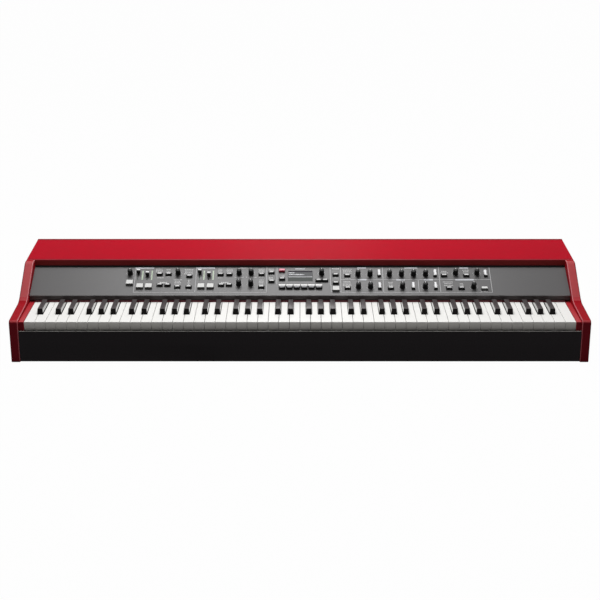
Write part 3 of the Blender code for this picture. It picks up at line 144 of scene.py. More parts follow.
# Panel frame, from the volume knob's axis and the panel's own box
KNOB_AXIS = JOINTS["volume_knob_turn"]
NORMAL = Vector(KNOB_AXIS["axis"]).normalized()
SLOPE = NORMAL.cross(Vector((1, 0, 0)))
PANEL_BOX = corners("control_panel")
PANEL_SHEET, PANEL_FLANGE = mm(2.5, 16)
LIP_SETBACK, LIP_THICKNESS = mm(4.3, 2)
KNOB_PLACE = Vector(KNOB_AXIS["pos_m"])
PANEL_ORIGIN = KNOB_PLACE - SLOPE * ((KNOB_PLACE.y - PANEL_BOX[0].y) / SLOPE.y)
PANEL_ORIGIN.x = 0
PANEL_TURN = Matrix((Vector((1, 0, 0)), SLOPE, NORMAL)).transposed().to_4x4()
PANEL_MATRIX = Matrix.Translation(PANEL_ORIGIN) @ PANEL_TURN


# Meshes


def about(half, middle=0.0):
    """The span that reaches half a width to each side of a middle."""
    return middle - half, middle + half


def box_form(x, y, z):
    form = bmesh.new()
    add_box(form, x, y, z)
    return form


def add_box(form, x, y, z, look=0):
    made = bmesh.ops.create_cube(form, size=1.0)["verts"]
    for vert in made:
        vert.co = [pair[side > 0] for pair, side in zip((x, y, z), vert.co)]
        for face in vert.link_faces:
            face.material_index = look
    return made


def face_middle(face):
    return face.calc_center_median()


def prism(outline, low, high, axis="X"):
    """A closed form: the outline, as (Y, Z) or (X, Y), drawn out along X or Z."""
    form = bmesh.new()
    rows = []
    for level in (low, high):
        places = [(level, u, v) if axis == "X" else (u, v, level) for u, v in outline]
        rows.append([form.verts.new(place) for place in places])
        form.faces.new(rows[-1])
    for i in range(len(outline)):
        j = (i + 1) % len(outline)
        form.faces.new((rows[0][i], rows[0][j], rows[1][j], rows[1][i]))
    bmesh.ops.recalc_face_normals(form, faces=form.faces)
    return form


def round_edges(form, width, segments=2, limit=radians(30), chosen=None, look=-1):
    """Rounds the edges whose faces meet at more than the limit, or only those that chosen accepts.

    The rounding takes the look by its index, or that of the faces beside it.
    """
    edges = [e for e in form.edges if len(e.link_faces) == 2 and e.calc_face_angle(0) > limit]
    if chosen:
        edges = [e for e in edges if chosen(e)]
    options = {"profile": 0.5, "affect": "EDGES", "clamp_overlap": True, "material": look}
    bmesh.ops.bevel(form, geom=edges, offset=width, segments=segments, **options)


def cut_across(form, point, normal):
    """Adds edges where a plane crosses a form."""
    everything = form.verts[:] + form.edges[:] + form.faces[:]
    bmesh.ops.bisect_plane(form, geom=everything, plane_co=point, plane_no=normal)


def divide_length(form, cuts):
    """Divides the edges that run the length of the keyboard."""
    bmesh.ops.subdivide_edges(form, edges=[e for e in form.edges if e.calc_length() > 1], cuts=cuts)


def paint(form, index, chosen):
    """Gives the look with an index to the faces that chosen accepts."""
    for face in form.faces:
        if chosen(face):
            face.material_index = index


def lathe(profile, sides, fluted=(), closed=False):
    """A turned form from (radius, height) rows: a closed ring, or else with both ends on the axis.

    The rows whose numbers are in fluted have the knobs' grooves.
    """
    form = bmesh.new()
    rings = []
    for number, (radius, height) in enumerate(profile):
        if radius == 0:
            rings.append([form.verts.new((0, 0, height))])
            continue
        ring = []
        for side in range(sides):
            turn = 2 * pi * side / sides
            here = radius + (FLUTE_DEPTH * cos(FLUTES * turn) if number in fluted else 0)
            ring.append(form.verts.new((here * cos(turn), here * sin(turn), height)))
        rings.append(ring)
    following = rings[1:] + rings[:1] if closed else rings[1:]
    for upper, lower in zip(rings, following):
        for side in range(sides):
            after = (side + 1) % sides
            around = ((upper, side), (lower, side), (lower, after), (upper, after))
            form.faces.new(list(dict.fromkeys(row[place % len(row)] for row, place in around)))
    bmesh.ops.recalc_face_normals(form, faces=form.faces)
    return form


def arc(centre, radius, start, end, steps):
    turns = [start + (end - start) * step / steps for step in range(steps + 1)]
    return [(centre[0] + radius * cos(t), centre[1] + radius * sin(t)) for t in turns]


def add_object(name, data):
    made = bpy.data.objects.new(name, data)
    bpy.context.scene.collection.objects.link(made)
    return made


def mesh_of(name, form):
    mesh = bpy.data.meshes.new(name)
    form.to_mesh(mesh)
    form.free()
    return mesh


def smooth(thing):
    """Smooth shading with sharp creases, whose normals follow the large faces."""
    thing.data.shade_smooth()
    thing.data.set_sharp_from_angle(angle=SHARP)
    even = thing.modifiers.new("even_normals", "WEIGHTED_NORMAL")
    even.keep_sharp = True


def piece(name, form, looks, body=CASE, replaces=(), place=None):
    """Makes a form into a piece that rides on a body. looks is one material, or a list by face index."""
    if place is not None:
        bmesh.ops.transform(form, matrix=place, verts=form.verts)
    made = add_object(name, mesh_of(name, form))
    for look in looks if isinstance(looks, list) else [looks]:
        made.data.materials.append(look)
    smooth(made)
    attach(made, body)
    if replaces:
        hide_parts(*replaces)
    return made


def on_panel(x, s, n=0.0):
    return PANEL_MATRIX @ Matrix.Translation((x, s, n))


# Materials

BUMP_DEPTH = 0.0003
ROUGHNESS_SPREAD = 0.05


def feed(tree, node, inputs):
    """Gives inputs of a node plain values, or links from sockets."""
    for key, value in inputs.items():
        if isinstance(value, bpy.types.NodeSocket):
            tree.links.new(value, node.inputs[key])
        else:
            node.inputs[key].default_value = value


def add_node(tree, kind, inputs, operation=None):
    """A new shader node of a kind, with its inputs fed."""
    made = tree.nodes.new("ShaderNode" + kind)
    if operation:
        made.operation = operation
    feed(tree, made, inputs)
    return made


def material(name, colour, roughness, variation, grain, bump, bump_scale, specular=0.5, more=()):
    """A principled finish whose colour, roughness and surface vary a little with position.

    More inputs of the shader come in a dictionary.
    """
    made = bpy.data.materials.new(name)
    made.use_nodes = True
    tree = made.node_tree
    place = add_node(tree, "TexCoord", {}).outputs["Object"]
    noise = {"Vector": place, "Scale": grain, "Detail": 4}
    cloud = add_node(tree, "TexNoise", noise).outputs["Fac"]
    ramp = add_node(tree, "ValToRGB", {"Fac": cloud})
    for end, position, share in zip(ramp.color_ramp.elements, (0.3, 0.7), (1 - variation, 1 + variation)):
        end.position = position
        end.color = (*[min(1, c * share) for c in colour], 1)
    least, most = max(0.02, roughness - ROUGHNESS_SPREAD), min(1.0, roughness + ROUGHNESS_SPREAD)
    spread = add_node(tree, "MapRange", {"Value": cloud, "To Min": least, "To Max": most})
    noise = {"Vector": place, "Scale": bump_scale, "Detail": 2}
    fine = add_node(tree, "TexNoise", noise).outputs["Fac"]
    relief = add_node(tree, "Bump", {"Height": fine, "Strength": bump, "Distance": BUMP_DEPTH})
    finish = {
        "Base Color": ramp.outputs["Color"],
        "Roughness": spread.outputs["Result"],
        "Normal": relief.outputs["Normal"],
        "Specular IOR Level": specular,
        **dict(more),
    }
    feed(tree, tree.nodes["Principled BSDF"], finish)
    return made


def family(grain, bump, bump_scale, *rows):
    """Finishes of one texture, from rows of name, colour, roughness, variation, specular level and more."""
    return [material(*row[:4], grain, bump, bump_scale, *row[4:]) for row in rows]


def paint_shade_by_height(made, low, high, share):
    """Paints shade into a finish: its colour scales evenly from full at the height high to the share at the
    height low.
    """
    tree = made.node_tree
    shader = tree.nodes["Principled BSDF"]
    place = add_node(tree, "TexCoord", {}).outputs["Object"]
    split = add_node(tree, "SeparateXYZ", {"Vector": place})
    span = {"Value": split.outputs["Z"], "From Min": low, "From Max": high, "To Min": share}
    level = add_node(tree, "MapRange", span).outputs["Result"]
    colour = shader.inputs["Base Color"].links[0].from_socket
    scaled = add_node(tree, "VectorMath", {0: colour, "Scale": level}, "SCALE")
    feed(tree, shader, {"Base Color": scaled.outputs["Vector"]})


RED, RED_FRONT_SHADE, RED_REAR_SHADE_BAND, RED_FRONT_SHADE_BAND, RED_EDGE_HIGHLIGHT = family(
    60, 0.04, 900,
    ("red_lacquer", (0.36, 0.005, 0.015), 0.5, 0.04, 0.008),
    # The lid's front face: a darker copy of the lacquer, painted shade.
    ("red_lacquer_front", (0.24, 0.014, 0.014), 0.5, 0.04, 0.14),
    # Darker bands along the rear and the front of the lid's top: painted shade.
    ("red_rear_rim", (0.18, 0.004, 0.009), 0.5, 0.04, 0.008),
    ("red_front_rim", (0.29, 0.005, 0.015), 0.5, 0.04, 0.01),
    # The lid's rounded edges: a paler copy of the lacquer, painted highlight.
    ("red_lacquer_edge", (0.3, 0.02, 0.03), 0.4, 0.04, 0.15),
)
DEEP_RED, DEEP_RED_ARM_LIT, DEEP_RED_FRONT_SHADE, CHEEK_EDGE_HIGHLIGHT, BLOCK_RED_LIT = family(
    60, 0.04, 900,
    ("deep_red_lacquer", (0.3, 0.006, 0.012), 0.5, 0.05, 0.02),
    # The cheeks' sloping arms: a lighter copy of the lacquer, painted light.
    ("deep_red_arm", (0.36, 0.022, 0.028), 0.42, 0.05, 0.31),
    # Fronts of the cheeks and the key blocks, and the cheeks' outer rounded edges: a darker copy of the
    # lacquer, painted shade.
    ("deep_red_front", (0.17, 0.006, 0.012), 0.5, 0.05, 0.05),
    # The cheeks' inner rounded edges: a paler copy of the lacquer, painted highlight.
    ("cheek_line", (0.42, 0.075, 0.09), 0.42, 0.05, 0.35),
    # The key blocks and the cheeks' bend: a lighter copy of the lacquer, painted light.
    ("block_red", (0.36, 0.016, 0.024), 0.45, 0.05, 0.18),
)
GREY, GREY_EDGE_HIGHLIGHT = family(
    700, 0.06, 3200,
    ("grey_panel", (0.084, 0.0815, 0.0825), 0.38, 0.04, 0.25),
    # The panel sheet's lower edge: a lighter copy of the grey, painted highlight.
    ("grey_edge", (0.25, 0.24, 0.24), 0.4, 0.04, 0.25),
)
WHITE_KEY, WHITE_SIDE_LIT = family(
    90, 0.01, 1200,
    ("white_key", (0.79, 0.783, 0.762), 0.45, 0.01, 0.08),
    # The keys' sides: brighter than the tops, painted light in the gaps between keys.
    ("white_key_side", (0.95, 0.94, 0.92), 0.3, 0.01, 0.5),
)
BUTTON_TOP, BUTTON_MID, PALE, PALE_FRONT_SHADE, STORE_TOP_HIGHLIGHT, STORE_BODY = family(
    700, 0.03, 2600,
    ("button_top", (0.62, 0.62, 0.62), 0.45, 0.04, 0.2),
    ("button_middle", (0.22, 0.22, 0.23), 0.45, 0.05, 0.2),
    ("pale_button", (0.62, 0.62, 0.61), 0.45, 0.03, 0.2),
    # The pale buttons' body: a dark copy of the pale plastic, painted shade.
    ("pale_button_front", (0.12, 0.12, 0.115), 0.5, 0.06, 0.15),
    # The red button's top: a pink copy of its red, painted highlight.
    ("red_button_top", (0.8, 0.33, 0.4), 0.4, 0.05, 0.2),
    ("red_button_body", (0.3, 0.012, 0.03), 0.45, 0.06, 0.15),
)
PRINT, PRINT_WORD, PRINT_BAR, PRINT_WHITE = family(
    1200, 0.01, 3000,
    ("pale_print", (0.43, 0.43, 0.435), 0.55, 0.08, 0.2),
    ("word_print", (0.52, 0.52, 0.52), 0.55, 0.05, 0.2),
    ("title_print", (0.54, 0.55, 0.58), 0.55, 0.05, 0.2),
    ("white_print", (0.84, 0.84, 0.85), 0.55, 0.04, 0.2),
)
SCREEN, SCREEN_BAND, SCREEN_HEADER = family(
    1600, 0.01, 3000,
    ("screen_glass", (0.118, 0.119, 0.123), 0.35, 0.04, 0.03),
    ("screen_band", (0.075, 0.08, 0.077), 0.35, 0.04, 0.03),
    ("screen_header", (0.022, 0.018, 0.025), 0.35, 0.06, 0.03),
)
GREEN_GLOW = {"Emission Color": (0.35, 0.6, 0.25, 1), "Emission Strength": 0.1}
WHITE_GLOW = {"Emission Color": (0.8, 0.8, 0.85, 1), "Emission Strength": 0.1}
METAL = {"Metallic": 1.0}
HALF_METAL = {"Metallic": 0.6}
COAT = {"Coat Weight": 1, "Coat Roughness": 0.12}
SHEEN = {"Sheen Weight": 0.2, "Sheen Roughness": 0.5}
LAMP = material("green_lamps", (0.42, 0.52, 0.36), 0.35, 0.08, 900, 0.02, 1500, more=GREEN_GLOW)
LAMP_DARK = material("lamp_window", (0.26, 0.29, 0.25), 0.35, 0.08, 900, 0.02, 1500, 0.2)
# The slip's top: pale grey on the black sheet, painted highlight.
SLIP_TOP_HIGHLIGHT = material("slip_top_painted_highlight", (0.38, 0.37, 0.35), 0.5, 0.1, 300, 0.08, 2600, 0.2)
BLACK_SHEET = material("black_sheet", (0.01, 0.008, 0.009), 0.5, 0.2, 300, 0.12, 2600, 0.08)
# The panel's lip and underside: the panel's sheet with painted shade, darker towards the panel's edge, and
# painted light from the keys at its foot.
LIP_SHADE_AND_LIGHT = material("lip_painted_shade_and_light", (0.12, 0.104, 0.102), 0.5, 0.1, 500, 0.08, 2400, 0.2)
FELT = material("red_felt", (0.14, 0.023, 0.032), 0.95, 0.35, 2600, 0.5, 5200, 0.1, SHEEN)
# The white keys' fronts, which painted shade darkens towards their foot.
WHITE_FRONT_SHADE = material("white_key_front_painted_shade", (0.8, 0.78, 0.735), 0.45, 0.02, 90, 0.02, 1200, 0.1)
BLACK_KEY = material("black_key", (0.022, 0.014, 0.015), 0.3, 0.15, 900, 0.04, 3000, 0.4)
BLACK_SIDE = material("black_key_side", (0.008, 0.007, 0.007), 0.1, 0.1, 900, 0.01, 3000, 1, COAT)
BLACK_FRONT = material("black_key_front", (0.008, 0.007, 0.007), 0.5, 0.15, 900, 0.05, 3000, 0.06)
PLASTIC = material("black_plastic", (0.008, 0.008, 0.008), 0.45, 0.12, 900, 0.04, 2600, 0.12)
PALE_TOP = material("program_button_top", (0.8, 0.8, 0.79), 0.45, 0.02, 700, 0.02, 2600, 0.2)
SCREEN_MARK = material("screen_mark", (0.62, 0.63, 0.65), 0.4, 0.03, 1600, 0.01, 1500, more=WHITE_GLOW)
RUBBER = material("rubber", (0.018, 0.018, 0.019), 0.85, 0.2, 800, 0.3, 1800, 0.1)
STEEL, DARK_METAL, SOCKET = family(
    700, 0.06, 2400,
    ("steel", (0.45, 0.45, 0.47), 0.35, 0.06, 0.5, METAL),
    ("dark_metal", (0.06, 0.06, 0.065), 0.45, 0.1, 0.5, HALF_METAL),
    ("socket_plastic", (0.012, 0.012, 0.013), 0.5, 0.12, 0.15),
)
BOARD = material("circuit_board", (0.015, 0.09, 0.035), 0.4, 0.25, 260, 0.1, 1800)
ALUMINIUM = material("folded_aluminium", (0.55, 0.55, 0.56), 0.4, 0.05, 300, 0.06, 2200, more=METAL)
# Near-black for painted shadow: the strip under the lid and the screws' cross recesses.
SHADOW_BLACK = material("painted_shadow_black", (0.004, 0.004, 0.004), 0.7, 0.2, 700, 0.04, 2400, 0.05)
# Painted shade: the lip darkens towards the panel's edge above it.
paint_shade_by_height(LIP_SHADE_AND_LIGHT, PANEL_ORIGIN.z - 2 * MM, PANEL_BOX[0].z + 2 * MM, 0.45)
# Painted shade: the key fronts darken towards their foot.
paint_shade_by_height(WHITE_FRONT_SHADE, KEY_TOP - FRONT_HEIGHT, KEY_TOP - 2 * MM, 0.5)


# Case


def lid_line(y):
    """Height of the lid's top at a depth."""
    return (HIGH.z - LID_RISE) + LID_RISE * (y - LID[0].y) / (LID[1].y - LID[0].y)


def make_lid():
    """A board with rounded edges; the darker rim on its top along the back and the front, and its darker
    front face, are painted shade, and its rounded edges carry a painted highlight.
    """
    front, back = LID[0].y, LID[1].y
    front_z, back_z = lid_line(front), lid_line(back)
    outline = [(front, front_z - LID_THICKNESS), (front, front_z)]
    outline += [(back, back_z - 0.4 * MM), (back, back_z - LID_THICKNESS)]
    form = prism(outline, LOW.x, HIGH.x)
    divide_length(form, LENGTH_CUTS)
    for line in (front + LID_FRONT_SHADE_BAND, back - LID_REAR_SHADE_BAND):
        cut_across(form, (0, line, 0), (0, 1, 0))
    # The front face takes the painted shade.
    paint(form, 1, lambda face: face.normal.y < -0.9)
    # The rounding takes the painted highlight.
    round_edges(form, EDGE, 4, look=2)
    form.normal_update()
    # Bands of painted shade along the front and the rear of the top.
    paint(form, 4, lambda face: face.normal.z > 0.99 and face_middle(face).y < front + LID_FRONT_SHADE_BAND)
    paint(form, 3, lambda face: face.normal.z > 0.3 and face_middle(face).y > back - LID_REAR_SHADE_BAND)
    looks = [RED, RED_FRONT_SHADE, RED_EDGE_HIGHLIGHT, RED_REAR_SHADE_BAND, RED_FRONT_SHADE_BAND]
    piece("lid_board", form, looks, replaces=("top_lid",))


def cheek_outline():
    """Side view of a cheek, as (Y, Z)."""
    front, foot = LOW.y, CASE_Z
    radius = REST_RADIUS
    start_y, start_z = ARM_START
    level = atan((start_z - REST_HEIGHT) / (start_y - radius))
    toe = (TOE_RADIUS, TOE_RADIUS - TOE_DROP)
    points = arc(toe, TOE_RADIUS, -pi / 2, -pi, 4)
    points.append((0, REST_HEIGHT - radius))
    corner = (radius, REST_HEIGHT - radius)
    points += arc(corner, radius, radians(170), radians(92), 10)
    bend_y = start_y - ARM_RADIUS * sin(level)
    bend = (bend_y, start_z + ARM_RADIUS * cos(level))
    points += arc(bend, ARM_RADIUS, level - pi / 2, ARM_ANGLE - pi / 2, 14)
    lid_y, top_z = LID[0].y - front, lid_line(LID[0].y) - foot
    rise = atan((lid_line(LID[1].y) - lid_line(LID[0].y)) / (LID[1].y - LID[0].y))
    crest = (lid_y - CREST_SETBACK + CREST_RADIUS * sin(rise), top_z - CREST_RADIUS)
    points += arc(crest, CREST_RADIUS, pi / 2 + ARM_ANGLE, pi / 2 + rise, 10)
    seat_y, depth = lid_y - GAP, HIGH.y - LOW.y
    points += [(seat_y, top_z - GAP), (seat_y, top_z - LID_THICKNESS - GAP)]
    lid_low = lid_line(LID[1].y) - LID_THICKNESS - foot
    points += [(depth, lid_low - GAP), (depth, -TOE_DROP)]
    return [(y + front, z + foot) for y, z in points]


def make_cheeks():
    looks = [DEEP_RED, DEEP_RED_ARM_LIT, DEEP_RED_FRONT_SHADE, CHEEK_EDGE_HIGHLIGHT, BLOCK_RED_LIT]
    for side, (low, high) in CHEEK.items():
        form = prism(cheek_outline(), low.x, high.x)
        # Fronts take painted shade; the sloping arms and the bend take lighter copies of the lacquer,
        # painted light.
        for face in form.faces:
            crest = face_middle(face).y > LOW.y + CREST_START
            bend = 0.86 < face.normal.z < 0.94 and not crest
            arm = 0.6 < face.normal.z < (1.1 if crest else 0.9) and face.normal.y < 0
            face.material_index = 2 if face.normal.y < -0.8 else 4 if bend else int(arm)
        # The rounded edges take the painted highlight.
        round_edges(form, CHEEK_EDGE, 4, radians(50), look=3)
        middle = abs(low.x + high.x) / 2
        # The outer rounded edges are set to the fronts' painted shade.
        for face in form.faces:
            if face.material_index == 3 and abs(face_middle(face).x) > middle:
                face.material_index = 2
        piece(side + "_cheek_board", form, looks, replaces=(side + "_cheek",))


def make_blocks():
    for name in ("left_key_block", "right_key_block"):
        low, high = corners(name)
        low.z += 8 * MM
        form = box_form(*zip(low, high))
        # The block's front takes painted shade.
        paint(form, 1, lambda face: face.normal.y < -0.9)
        round_edges(form, 0.8 * MM, 3, look=0)
        looks = [BLOCK_RED_LIT, DEEP_RED_FRONT_SHADE]
        piece(name + "_board", form, looks, replaces=(name,))


def make_slip():
    low, high = corners("key_slip")
    back = low.y + SLIP_THICKNESS
    outline = [(low.y, low.z), (back, low.z), (back, high.z), (low.y, high.z)]
    form = prism(outline, low.x, high.x)
    divide_length(form, LENGTH_CUTS)
    # The top face takes the painted highlight.
    paint(form, 1, lambda face: face.normal.z > 0.9)
    round_edges(form, 0.5 * MM, 3)
    piece("slip_board", form, [BLACK_SHEET, SLIP_TOP_HIGHLIGHT], replaces=("key_slip",))


def make_feet():
    for name in ("foot_front_left", "foot_front_right", "foot_rear_left", "foot_rear_right"):
        low, high = corners(name)
        radius = (high.x - low.x) / 2
        tall = high.z - low.z
        profile = [(0, tall), (radius - 0.4 * MM, tall), (radius, tall - 0.5 * MM)]
        profile += [(radius * 0.95, 0.9 * MM), (radius * 0.92, 0.2 * MM), (radius * 0.88, 0)]
        profile += [(radius * 0.3, 0), (radius * 0.27, 1.8 * MM), (0, 1.8 * MM)]
        place = Matrix.Translation(((low.x + high.x) / 2, (low.y + high.y) / 2, low.z))
        piece(name + "_pad", lathe(profile, 48), RUBBER, replaces=(name,), place=place)


# Keyboard


def note_of(key):
    return (key + FIRST_NOTE) % 12


def is_black(key):
    return note_of(key) in BLACK_NOTES


def key_name(key):
    return f"{NOTE_NAMES[note_of(key)]}{(key + FIRST_NOTE) // 12}"


def key_body(key):
    if SINGLE_KEYS[0] <= key <= SINGLE_KEYS[1]:
        return "key_" + key_name(key)
    colour = "black" if is_black(key) else "white"
    first, last = next(span for span in KEY_SETS if span[0] <= key <= span[1])
    return f"{colour}_keys_{key_name(first)}_{key_name(last)}"


def white_left(key):
    before = sum(not is_black(other) for other in range(key))
    return (before - WHITES_TO_MIDDLE) * WHITE_PITCH


def black_centre(key):
    note = note_of(key)
    first, whites = (0, 3) if note < 5 else (5, 4)
    tail = (whites * WHITE_PITCH - (whites - 1) * NOTCH_WIDTH) / whites
    place = (note - first + 1) // 2
    return white_left(key) - place * WHITE_PITCH + place * tail + (place - 0.5) * NOTCH_WIDTH


def white_key(key):
    """A white key with a rounded lip, notches for its black neighbours and a front skirt."""
    head = [white_left(key) + WHITE_GAP / 2, white_left(key) + WHITE_PITCH - WHITE_GAP / 2]
    tail = list(head)
    if key > 0 and is_black(key - 1):
        tail[0] = black_centre(key - 1) + NOTCH_WIDTH / 2
    if key < KEY_COUNT - 1 and is_black(key + 1):
        tail[1] = black_centre(key + 1) - NOTCH_WIDTH / 2
    notch = KEY_FRONT + WHITE_HEAD
    outline = [(head[0], KEY_FRONT), (head[1], KEY_FRONT)]
    if tail[1] != head[1]:
        outline += [(head[1], notch), (tail[1], notch)]
    outline += [(tail[1], KEY_BACK), (tail[0], KEY_BACK)]
    if tail[0] != head[0]:
        outline += [(tail[0], notch), (head[0], notch)]
    form = prism(outline, KEY_TOP - WHITE_DEPTH, KEY_TOP, "Z")
    skirt = KEY_FRONT + WHITE_SKIRT
    cut_across(form, (0, skirt, 0), (0, 1, 0))
    under = [f for f in form.faces if f.normal.z < -0.9 and face_middle(f).y < skirt]
    drawn = bmesh.ops.extrude_discrete_faces(form, faces=under)
    for vert in {vert for face in drawn["faces"] for vert in face.verts}:
        vert.co.z = KEY_TOP - FRONT_HEIGHT
    bmesh.ops.remove_doubles(form, verts=form.verts, dist=0.01 * MM)
    curve_front(form)
    round_edges(form, WHITE_ROUND, 4, chosen=lambda e: all(v.co.z > KEY_TOP - MM for v in e.verts))
    for face in form.faces:
        # The front takes the finish with painted shade.
        front = face.normal.y < -0.95 and face_middle(face).y < KEY_FRONT + FRONT_CURVE
        # Sides take the brighter copy of the white, painted light.
        face.material_index = 1 if front else 2 if abs(face.normal.x) > 0.9 else 0
    return form


def curve_front(form):
    """Draws the front of a white key back towards its foot, in a shallow curve."""
    for depth in FRONT_LEVELS:
        cut_across(form, (0, 0, KEY_TOP - depth), (0, 0, 1))
    for vert in form.verts:
        if vert.co.y < KEY_FRONT + 0.1 * MM:
            vert.co.y += FRONT_CURVE * ((KEY_TOP - vert.co.z) / FRONT_HEIGHT) ** 2


def shape_cap(form, slope_start):
    """Gives a black key's cap a dull band above the white keys and a tail that slopes down."""
    band = KEY_TOP + BLACK_BAND
    cut_across(form, (0, 0, band), (0, 0, 1))
    cut_across(form, (0, slope_start, 0), (0, 1, 0))
    form.normal_update()
    paint(form, 1, lambda face: abs(face.normal.x) > 0.9 and face_middle(face).z < band)
    for vert in form.verts:
        if vert.co.z > band + 0.1 * MM and vert.co.y > slope_start:
            vert.co.z -= BLACK_TAIL_DROP * (vert.co.y - slope_start) / BLACK_TAIL


def black_key(key):
    """A black key: a tapered cap that slopes at the front and the tail, on its narrower stem."""
    centre = black_centre(key)
    front = KEY_FRONT + WHITE_HEAD + BLACK_FRONT_GAP
    form = bmesh.new()
    across = about(BLACK_WIDTH / 2 + BLACK_FLARE, centre)
    upright = (KEY_TOP - 5 * MM, KEY_TOP + BLACK_HEIGHT)
    for vert in add_box(form, across, (front, front + BLACK_LENGTH), upright):
        if vert.co.z > KEY_TOP:
            vert.co.x = centre + copysign(BLACK_TOP_WIDTH / 2, vert.co.x - centre)
            if vert.co.y < front + MM:
                vert.co.y += BLACK_FRONT_SLOPE
    paint(form, 2, lambda face: abs(face.normal.x) > 0.9)
    paint(form, 1, lambda face: face.normal.y < -0.7)
    round_edges(form, BLACK_ROUND, 4, chosen=lambda e: max(v.co.z for v in e.verts) > KEY_TOP)
    form.normal_update()
    paint(form, 1, lambda face: face.normal.y < -0.35)
    shape_cap(form, front + BLACK_LENGTH - BLACK_TAIL)
    stem = about(BLACK_WIDTH / 2 - 0.6 * MM, centre)
    along = (front + 2 * MM, KEY_BACK - 16 * MM)
    add_box(form, stem, along, (KEY_TOP - WHITE_DEPTH, KEY_TOP - 1.2 * MM))
    return form


def make_keys():
    for key in range(KEY_COUNT):
        body = key_body(key)
        if is_black(key):
            form, slot = black_key(key), "black_key_plastic"
            looks = [BLACK_KEY, BLACK_FRONT, BLACK_SIDE]
        else:
            form, slot = white_key(key), "white_key_plastic"
            looks = [WHITE_KEY, WHITE_FRONT_SHADE, WHITE_SIDE_LIT]
        piece("cap_" + key_name(key), form, looks, body, tuple(BODIES[body]))


def make_felt():
    low, high = corners("key_felt")
    form = box_form(*zip(low, high))
    divide_length(form, FELT_CUTS)
    dice = random.Random(3)
    for vert in form.verts:
        if vert.co.y < low.y + MM:
            vert.co.y += dice.uniform(0, FELT_FRAY) * MM
    piece("felt_strip", form, FELT, replaces=("key_felt",))


# Control panel: places are X along the panel and S up its slope. Tables without MM are in millimetres.

KNOB_RADIUS, KNOB_TOP_RADIUS, KNOB_HEIGHT = mm(6.3, 5.6, 14)
FLUTES = 18
FLUTE_DEPTH = 0.16 * MM
# The X of each knob that stays still, by the S of its row
FIXED_KNOBS = {
    72: (-286, -142.7, -114.6, 364.7, 414.5), 36.2: (-142.7, -114.6), 68.4: (135.8, 164),
    27.2: (135.8, 164, 238, 291, 403.3),
}
TURNING_KNOBS = ("volume_knob", "value_dial", *(f"tone_knob_{index}" for index in range(1, 5)))
FADERS = tuple(f"layer_fader_{index}" for index in range(1, 5))
PANEL_EDGE = (LID[0].y - PANEL_ORIGIN.y) / SLOPE.y
# Width of the dark strip of painted shadow under the lid.
SHADOW_STRIP_WIDTH = 4.9 * MM
SLOT_LOW, SLOT_LENGTH, SLOT_WIDTH = mm(50, 33, 1.6)
CAP_SHIFT, LAMP_SHIFT = mm(0.7, 10.6)
LAMP_COUNT = 10
PROGRAM_SIZE = mm(15.8, 14)
STORE_SIZE = mm(14.8, 9.8)
BUTTON_HEIGHT = 5.5 * MM
BUTTON_LIFT = MM
BUTTON_WEDGE = 1.8 * MM
BUTTON_RIM = 1.8 * MM
# Width and length, shares of the width left at the top's front and rear, setback of the top's front
BUTTON_KINDS = {
    "button": ((15.1, 8.4), (0.66, 0.6), 2.6),
    "narrow_button": ((8.8, 8.4), (0.8, 0.7), 2.6),
    "wide_button": ((16.8, 15.6), (0.97, 0.88), 0.6),
    "short_button": ((16.4, 10.5), (0.92, 0.74), 1.6),
}
# The X of each button, by the S of its row
BUTTON_ROWS = {
    "button": {
        69: (-329, -308.2), 68.2: (-186.2, -165.6, -90), 62.2: (-259,),
        32.8: (-326.5, -308.2, -183.6, -165.3), 26.5: (-284.9, -258.8, -90), 74: (-67,), 45: (-66.5,),
        52.8: (-41.8,), 48: (43.4, 58.5), 66.6: (83.4,), 39.5: (83.4,), 64.5: (110.8, 337.6, 389.6),
        22.5: (110.8, 211.2, 346.2, 375),
    },
    "narrow_button": {64.5: (185.4, 316.4, 435.2), 22.5: (185.4, 263.3, 315.2)},
    "wide_button": {41.2: (-397,), 29.4: (-372.4, -352, -230, -208.6), 20.4: (83.4,)},
    "short_button": {21.8: (428.1,)},
}
PROGRAM_BUTTONS = tuple(f"program_button_{index}" for index in range(1, 7))
LINE_WIDTH = 1.3 * MM
LEVEL_LINE_WIDTH = MM
# From X, to X, from S, to S
PRINTED_LINES = (
    (-386, -243.5, 10.2, 10.2), (-386, -386, 10.2, 93), (-243.5, -243.5, 10.2, 93),
    (-243.5, -78, 10.2, 10.2), (-78, -78, 10.2, 93), (-54, -54, 36.8, 93), (70.8, 70.8, 34, 93),
    (95, 95, 10.2, 93), (95, 445, 10.2, 10.2), (95, 445, 52.6, 52.6), (194, 194, 10.2, 93),
    (276, 276, 10.2, 52.6), (326, 326, 10.2, 93), (445.5, 445.5, 10.2, 93), (72.5, 94.5, 11, 11),
    (72.5, 72.5, 11, 34),
)
# From X, to X, middle S, width
TITLE_BARS = (
    (-387.5, -344, 91.2, 3.8), (-244, -200.3, 91.2, 3.8), (134.8, 155.6, 91.4, 3.6),
    (246, 276.3, 91.4, 3.6), (375, 396, 91.2, 4), (135, 155, 52.2, 4.4), (225, 245, 51.6, 4.4),
    (289, 310.7, 52, 4.6), (362.5, 406, 52, 4.8), (-11.4, 11.6, 88.3, 3.4),
)
